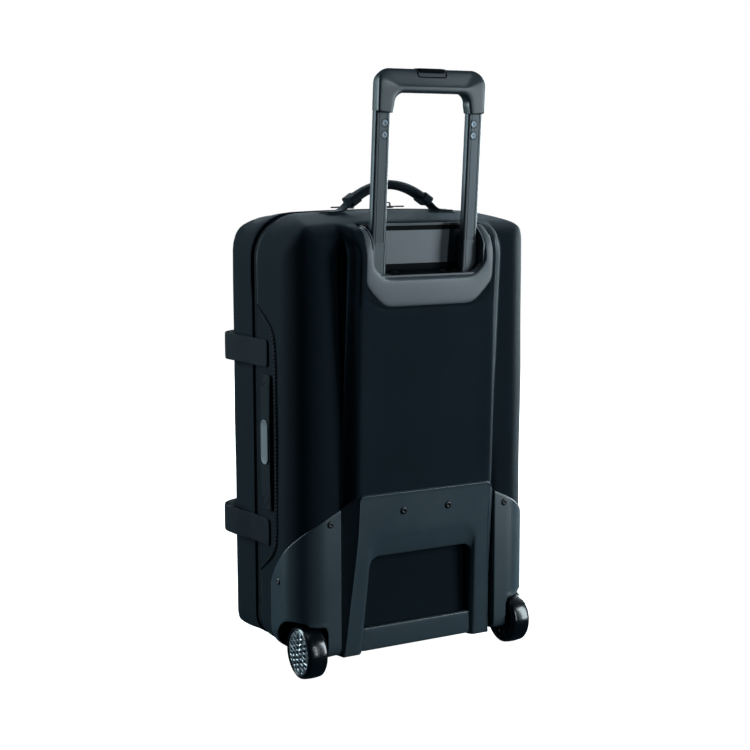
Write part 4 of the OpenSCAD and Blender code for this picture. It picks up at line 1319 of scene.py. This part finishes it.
def strap_route(slack):
    """Middle line of a closure strap in plan, from its hook end round the front to the other side."""
    x, y = HALF_W + 3.3, FRONT_Y - 6.6
    cx, cy, r = HALF_W - 35, FRONT_Y + 33, 39.6
    right = [(x - 0.4, 18.5), (x, 10), (x + 0.3 * slack, ZIP_Y - 8), (x + 0.85 * slack, cy + 32),
             (x + slack, cy + 14)]
    corner = arc_points(cx, cy, r, -4, -104, 17)
    corner[:, 0] += slack * np.clip((corner[:, 0] - cx) / r, 0, 1)
    return np.concatenate([right, corner, [(cx - 52, y), (0, y), (52 - cx, y)],
                           arc_points(-cx, cy, r, 284, 166, 17), [(-x - 0.3, cy + 30), (-x, ZIP_Y - 25)]])


def closure_strap(node, label, slack):
    """Hook-and-loop strap: webbing with rounded free ends that stands off the front corners."""
    low, high = corners(node)
    middle, half = (low[2] + high[2]) / 2, (high[2] - low[2]) / 2
    route = eased(resample(strap_route(slack), 4), 2)
    length = lengths_along(route)
    width = half * (0.84 + 0.16 * np.sqrt(1 - (1 - ramp(length / 4.0)) ** 2))
    path = xyz(*route.T, middle)
    across = rounded_rectangle(1.25, 1.0, 0.5, 3) * np.stack([np.ones(len(width)), width], -1)[:, None]
    grid = sweep(path, across, ALONG_Z)
    grid[..., 2] += 0.2 * np.sin(length / 17.0 + middle)[:, None]
    subdivide(make(f"{node}_webbing", solid(grid), "lid", WEBBING, (node,)))
    inward = unit(np.cross(np.gradient(path, axis=0), ALONG_Z))
    sewn = (length > 6) & (length < 60)
    rows = [((path + [0, 0, rise] - inward * 1.3)[sewn], -inward[sewn]) for rise in (3 - half, half - 3)]
    make(f"strap_stitches_{label}", stitch_row(rows, 2.4, 1.6, 0.3, 0.2), "lid", THREAD)


def hinge_fabric():
    """Fabric hinge on the left side, between the tub and the lid."""
    y = np.array([2.5, 5, 9, 14, 19, 21.4, 22])
    lift = np.array([2.4, 1.9, 1.4, 1.4, 1.4, 1.0, 0.1])
    y = ZIP_Y + np.concatenate([-y[::-1], [0], y])
    lift = np.concatenate([lift[::-1], [2.6], lift])
    grid = xyz(-HALF_W - lift, y, np.linspace(92, 576, 62)[:, None])
    piece = make("hinge_fabric", grid_mesh(grid), None, FABRIC, ("hinge_strip_tub", "hinge_strip_lid"))
    thicken(piece, 0.9)
    subdivide(piece)
    apply_modifiers(piece)
    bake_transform(piece)


def zip_hardware():
    """Sliders on the coil and their pulls, each a wire loop with a flat tab."""
    foot = corners("zip_sliders")[0][2]
    wire_z = foot + 2.2
    meshes = []
    for node, way in (("zip_pull_left", -1), ("zip_pull_right", 1)):
        low, high = corners(node)
        hinge = high[0] - 1 if way < 0 else low[0] + 1

        def flat(middle_x):
            return lambda a, b, z: xyz(middle_x + a, ZIP_Y + b, z)

        levels = [(foot + rise, scale) for rise, scale in ((0.0, 0.92), (0.5, 1.0), (2.6, 1.0), (3.3, 0.9))]
        meshes.append(loft(rounded_rectangle(8.2, 5.2, 3.2), levels, flat(hinge)))
        bridge = [(hinge + x, ZIP_Y, foot + z)
                  for x, z in ((-4.2, 3), (-4.0, 7.2), (0, 8.3), (4.0, 7.2), (4.2, 3))]
        meshes.append(rod(resample(bridge, 1.2), rounded_rectangle(0.7, 1.9, 0.5, 2), ALONG_Y))
        wire = [(hinge + way * x, ZIP_Y + y, wire_z)
                for x, y in ((0, -4.0), (10, -4.0), (13, -3.4), (13, 3.4), (10, 4.0), (0, 4.0), (0, -4.0))]
        levels = [(wire_z + rise, scale)
                  for rise, scale in ((-1.0, 0.94), (-0.6, 1.0), (0.8, 1.0), (1.2, 0.93))]
        pull = join([rod(resample(wire, 1.5), circle(0.85, 8), ALONG_Z),
                     loft(rounded_rectangle(8.0, 4.2, 3.2), levels, flat(hinge + way * 19))])
        bevel(make(f"{node}_tab", pull, node.replace("zip_", ""), BLACK_METAL, (node,)), 0.2, 1, 40)
    make("zip_slider_bodies", join(meshes), "case", BLACK_METAL, ("zip_sliders",))


# ---- lid -------------------------------------------------------------------------------------------------

POCKET_HW, POCKET_LOW, POCKET_HIGH, POCKET_R = 130, 66, 580, 30
POCKET_ZIP_Z = 520
POCKET_ZIP_HW = 112
SLIDER_X = -98


def pocket_panel():
    """Padded front panel, gridded so that its rows bend round the corners."""
    lines = []
    near = np.array([0, 0.6, 1.8, 4, 8])
    for start, end, count in ((-POCKET_HW, POCKET_HW, 22), (POCKET_LOW, POCKET_HIGH, 42)):
        even = np.linspace(start + 13, end - 13, count)
        lines.append(np.concatenate([start + near, even, end - near[::-1]]))
    x, z = np.meshgrid(*lines)
    core_x = np.clip(x, POCKET_R - POCKET_HW, POCKET_HW - POCKET_R)
    core_z = np.clip(z, POCKET_LOW + POCKET_R, POCKET_HIGH - POCKET_R)
    u, v = (x - core_x) / POCKET_R, (z - core_z) / POCKET_R
    u, v = u * np.sqrt(1 - v * v / 2), v * np.sqrt(1 - u * u / 2)
    x, z = core_x + POCKET_R * u, core_z + POCKET_R * v
    gap = POCKET_R * (1 - np.hypot(u, v))
    plump = smooth_step(gap / POCKET_R)
    y = FRONT_Y - 1.1 * ramp(gap / 1.5) ** 0.6 - 2.4 * plump + sag(x, 0, 1.3 * z) * plump
    panel = make("front_pocket_panel", grid_mesh(xyz(x, y, z)), "lid", PANEL_FABRIC, ("front_pocket",))
    relax(panel, 12, 0.5, 1.2, gap < 5)
    subdivide(panel)


def pocket_piping():
    middle, half = (POCKET_LOW + POCKET_HIGH) / 2, (POCKET_HIGH - POCKET_LOW) / 2
    edge = rounded_rectangle(POCKET_HW, half, POCKET_R, 8)
    edge = resample(np.concatenate([edge, edge[:1]]), 14)[:-1]
    grid = sweep(xyz(edge[:, 0], FRONT_Y - 1.4, middle + edge[:, 1]), circle(1.2, 8), ALONG_Y, closed=True)
    make("front_pocket_piping", torus(grid), "lid", PIPING)


def pocket_zip():
    """Zip that arches across the pocket: tape between two flaps, teeth, and a slider with a pull."""
    x = np.linspace(-POCKET_ZIP_HW, POCKET_ZIP_HW, 114)
    line = xyz(x, FRONT_Y - 4.4, POCKET_ZIP_Z + 8 * np.cos(x / POCKET_ZIP_HW * math.pi / 2))
    flap = rounded_rectangle(2.9, 0.8, 0.7, 2)
    meshes = [rod(line, rounded_rectangle(6.5, 0.9, 0.5, 2), ALONG_Y)]
    meshes += [rod(line + [0, -0.9, rise], flap, ALONG_Y) for rise in (-4.6, 4.6)]
    make("front_pocket_zip_tape", join(meshes), "lid", ZIP_TAPE)
    tooth = np.array([(x, y, z) for x in (-0.65, 0.65) for y in (-1.6, -0.5) for z in (-1.5, 1.5)])
    teeth = join([(tooth + centre, BOX_FACES) for centre in (line[1:] + line[:-1]) / 2])
    make("front_pocket_zip_teeth", teeth, "lid", BLACK_METAL, flat=True)

    def upright(middle_z):
        return lambda a, b, depth: xyz(SLIDER_X + a, FRONT_Y - depth, middle_z + b)

    slider = loft(rounded_rectangle(4.2, 6.0, 2.4, 3), [(6.4, 0.9), (6.8, 1.0), (8.4, 1.0), (8.9, 0.85)],
                  upright(POCKET_ZIP_Z + 1.5))
    pull = loft(rounded_rectangle(2.6, 11, 2.0, 3), [(9.0, 0.92), (9.4, 1.0), (10.2, 1.0), (10.5, 0.9)],
                upright(POCKET_ZIP_Z - 10))
    make("front_pocket_zip_slider", join([slider, pull]), "lid", BLACK_METAL)


def laptop_sleeve():
    """Padded pocket on the inside of the lid, with a bound upper edge."""
    low, high = corners("laptop_sleeve")
    xs = np.linspace(low[0] + 2, high[0] - 2, 34)
    zs = np.linspace(low[2] + 1, high[2], 26)
    x, z = np.meshgrid(xs, zs)
    edge = lowest(x - xs[0], xs[-1] - x, z - zs[0])
    face = FRONT_Y + WALL + 0.5 + (high[1] - low[1] - 1.5) * ramp(edge / 22) ** 0.55
    grid = xyz(x, face, z)
    pad = make("laptop_sleeve_pad", grid_mesh(grid), "lid", LINING, ("laptop_sleeve",))
    relax(pad, 8, 0.4, 2.0, (edge < 12) | (z > zs[-1] - 6))
    thicken(pad, 2.6)
    subdivide(pad)
    make("laptop_sleeve_binding", rod(grid[-1] + [0, -1.3, 0], circle(2.0, 8), ALONG_Z), "lid", WEBBING)


def packing_straps():
    """Two straps up the packing side."""
    w = np.linspace(60, 520, 48)
    profile = rounded_rectangle(0.9, 12.5, 0.8, 2)
    v = TRAY_V + 1.6 + 0.24 * np.sin(w / 23.0)
    meshes = [rod(spine(x, v, w), profile, ALONG_X) for x in (-57.5, 57.5)]
    make("packing_strap_webbing", join(meshes), "case", WEBBING, ("packing_straps",))


def feet():
    """Moulded feet under the lid, flared at the top and ribbed at the sole."""
    levels = [(0.0, 0.86), (0.6, 0.95), (2.0, 0.99), (5.0, 1.0), (5.4, 0.965), (6.4, 0.965), (6.8, 1.0),
              (22, 1.02), (27, 1.1), (30, 1.2), (33, 1.24), (34.2, 1.2)]
    a, b = rounded_rectangle(23.6, 14.6, 8, 5).T
    for label in ("right", "left"):
        low, high = corners(f"foot_{label}")
        cx, cy = (low[0] + high[0]) / 2, (low[1] + high[1]) / 2
        grid = np.array([xyz(cx + a * (1 + (s - 1) * 0.8), cy + b * s, z) for z, s in levels])
        bevel(make(f"foot_moulding_{label}", solid(grid), "lid", PLASTIC, (f"foot_{label}",)), 0.4, 2, 40)


# ---- CAD nodes that stay ---------------------------------------------------------------------------------


def dress_cad_nodes():
    looks = {PLASTIC: ("frame_board", "tube_base"), SATIN: ("handle_tray",),
             MATTE_BLACK_AND_SHADE: ("wheel_bracket_left", "wheel_bracket_right"),
             TUBE: ("outer_tube_left", "outer_tube_right"),
             DARK_AND_SHADE: ("packing_buckle", "slide_plugs", "release_bar"),
             STEEL: ("axle_left", "axle_right", "bearings_left", "bearings_right", "push_rods",
                     "button_spring")}
    for material, names in looks.items():
        for name in names:
            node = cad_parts[name]
            node.data.materials.clear()
            node.data.materials.append(material)
    bevel(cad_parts["packing_buckle"], 1.2, 3, 40)
    bevel(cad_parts["handle_tray"], 0.8, 2, 50)
    bevel(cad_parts["tube_base"], 0.6, 2, 50)


# ---- stage, lights and camera ----------------------------------------------------------------------------


def make_world():
    """White to the camera, dim to everything else."""
    world = bpy.data.worlds.new("studio")
    bpy.context.scene.world = world
    world.use_nodes = True
    tree = world.node_tree
    tree.nodes.clear()
    mix = tree.nodes.new("ShaderNodeMixShader")
    for place, colour, strength in ((1, (0.30, 0.68, 1.0, 1), AMBIENT), (2, (1, 1, 1, 1), 1.0)):
        light = tree.nodes.new("ShaderNodeBackground")
        light.inputs[0].default_value = colour
        light.inputs[1].default_value = strength
        tree.links.new(light.outputs[0], mix.inputs[place])
    path = tree.nodes.new("ShaderNodeLightPath")
    out = tree.nodes.new("ShaderNodeOutputWorld")
    tree.links.new(path.outputs["Is Camera Ray"], mix.inputs[0])
    tree.links.new(mix.outputs[0], out.inputs[0])


def make_floor():
    """A pure white floor under the case, which throws no light back on it."""
    half = 14.0
    mesh = bpy.data.meshes.new("floor")
    square = [(-half, -half, 0), (half, -half, 0), (half, half, 0), (-half, half, 0)]
    mesh.from_pydata(square, [], [(0, 1, 2, 3)])
    floor = bpy.data.objects.new("floor", mesh)
    bpy.context.scene.collection.objects.link(floor)
    g = Graph("floor_paper")
    g.set(Base_Color=(0.42, 0.42, 0.42, 1), Roughness=0.95)
    g.set(Emission_Color=(1, 1, 1, 1), Emission_Strength=1.0)
    mesh.materials.append(g.material)
    floor.visible_diffuse = False
    floor.visible_glossy = False


AMBIENT = 0.024
COOL = (0.82, 0.95, 1.0)
COLD = (0.72, 0.92, 1.0)
# name, place, width and height in metres, watts, colour
LIGHTS = [("left_box", (2.05, -1.75, 1.0), (0.9, 2.2), 62, COLD),
          ("right_box", (-1.75, 1.8, 0.8), (0.8, 2.0), 52, COOL),
          ("strip_box", (-0.72, 2.5, 0.7), (0.14, 1.8), 9, COOL),
          ("front_box", (-1.0, -2.5, 1.2), (1.4, 1.8), 55, COOL),
          ("top_box", (0.2, 0.2, 3.0), (1.6, 1.6), 4, COOL),
          ("rim_box", (-2.2, -0.6, 1.0), (0.6, 1.8), 130, COOL)]


def make_lights():
    """Area lights aimed at the middle of the case."""
    centre = Vector((0.0, 0.0, 0.36))
    for name, place, size, power, colour in LIGHTS:
        light = bpy.data.lights.new(name, "AREA")
        light.shape = "RECTANGLE"
        light.size, light.size_y = size
        light.energy = power
        light.color = colour
        lamp = bpy.data.objects.new(name, light)
        lamp.location = place
        lamp.rotation_euler = (centre - Vector(place)).to_track_quat("-Z", "Y").to_euler()
        bpy.context.scene.collection.objects.link(lamp)


def make_camera():
    """The view: 150.5 degrees round from the front and 7.8 degrees up."""
    camera = bpy.data.objects.new("camera", bpy.data.cameras.new("camera"))
    camera.data.lens = 72.36
    camera.data.sensor_width = 36
    camera.data.clip_start = 0.05
    place = Vector((1.0653, 1.8589, 0.6911))
    aim = Vector((0.0, -0.027, 0.3953))
    roll = math.radians(-0.13)
    turn = (aim - place).to_track_quat("-Z", "Y").to_matrix()
    camera.location = place
    camera.rotation_euler = (Matrix.Rotation(roll, 3, (place - aim).normalized()) @ turn).to_euler()
    bpy.context.scene.collection.objects.link(camera)
    bpy.context.scene.camera = camera


bpy.context.scene.view_settings.view_transform = "Standard"
make_camera()
make_world()
make_floor()
make_lights()

fabric_shell("tub_fabric", False, "case", "tub_shell")
fabric_shell("lid_fabric", True, "lid", "lid_shell")
zip_bands()
back_panel_pad()
kick_plate()
corner_guard(1, "right")
corner_guard(-1, "left")
bezel()
tray_shade_and_flange()
rivets()
handle_tubes()
grip_shell()
grip_details()
wheel(1, "right")
wheel(-1, "left")
carry_pad()
carry_webbing()
carry_anchors()
gusset()
side_handle()
closure_strap("closure_strap_high", "high", 7.5)
closure_strap("closure_strap_low", "low", 12.5)
hinge_fabric()
zip_hardware()
pocket_panel()
pocket_piping()
pocket_zip()
laptop_sleeve()
packing_straps()
feet()
dress_cad_nodes()
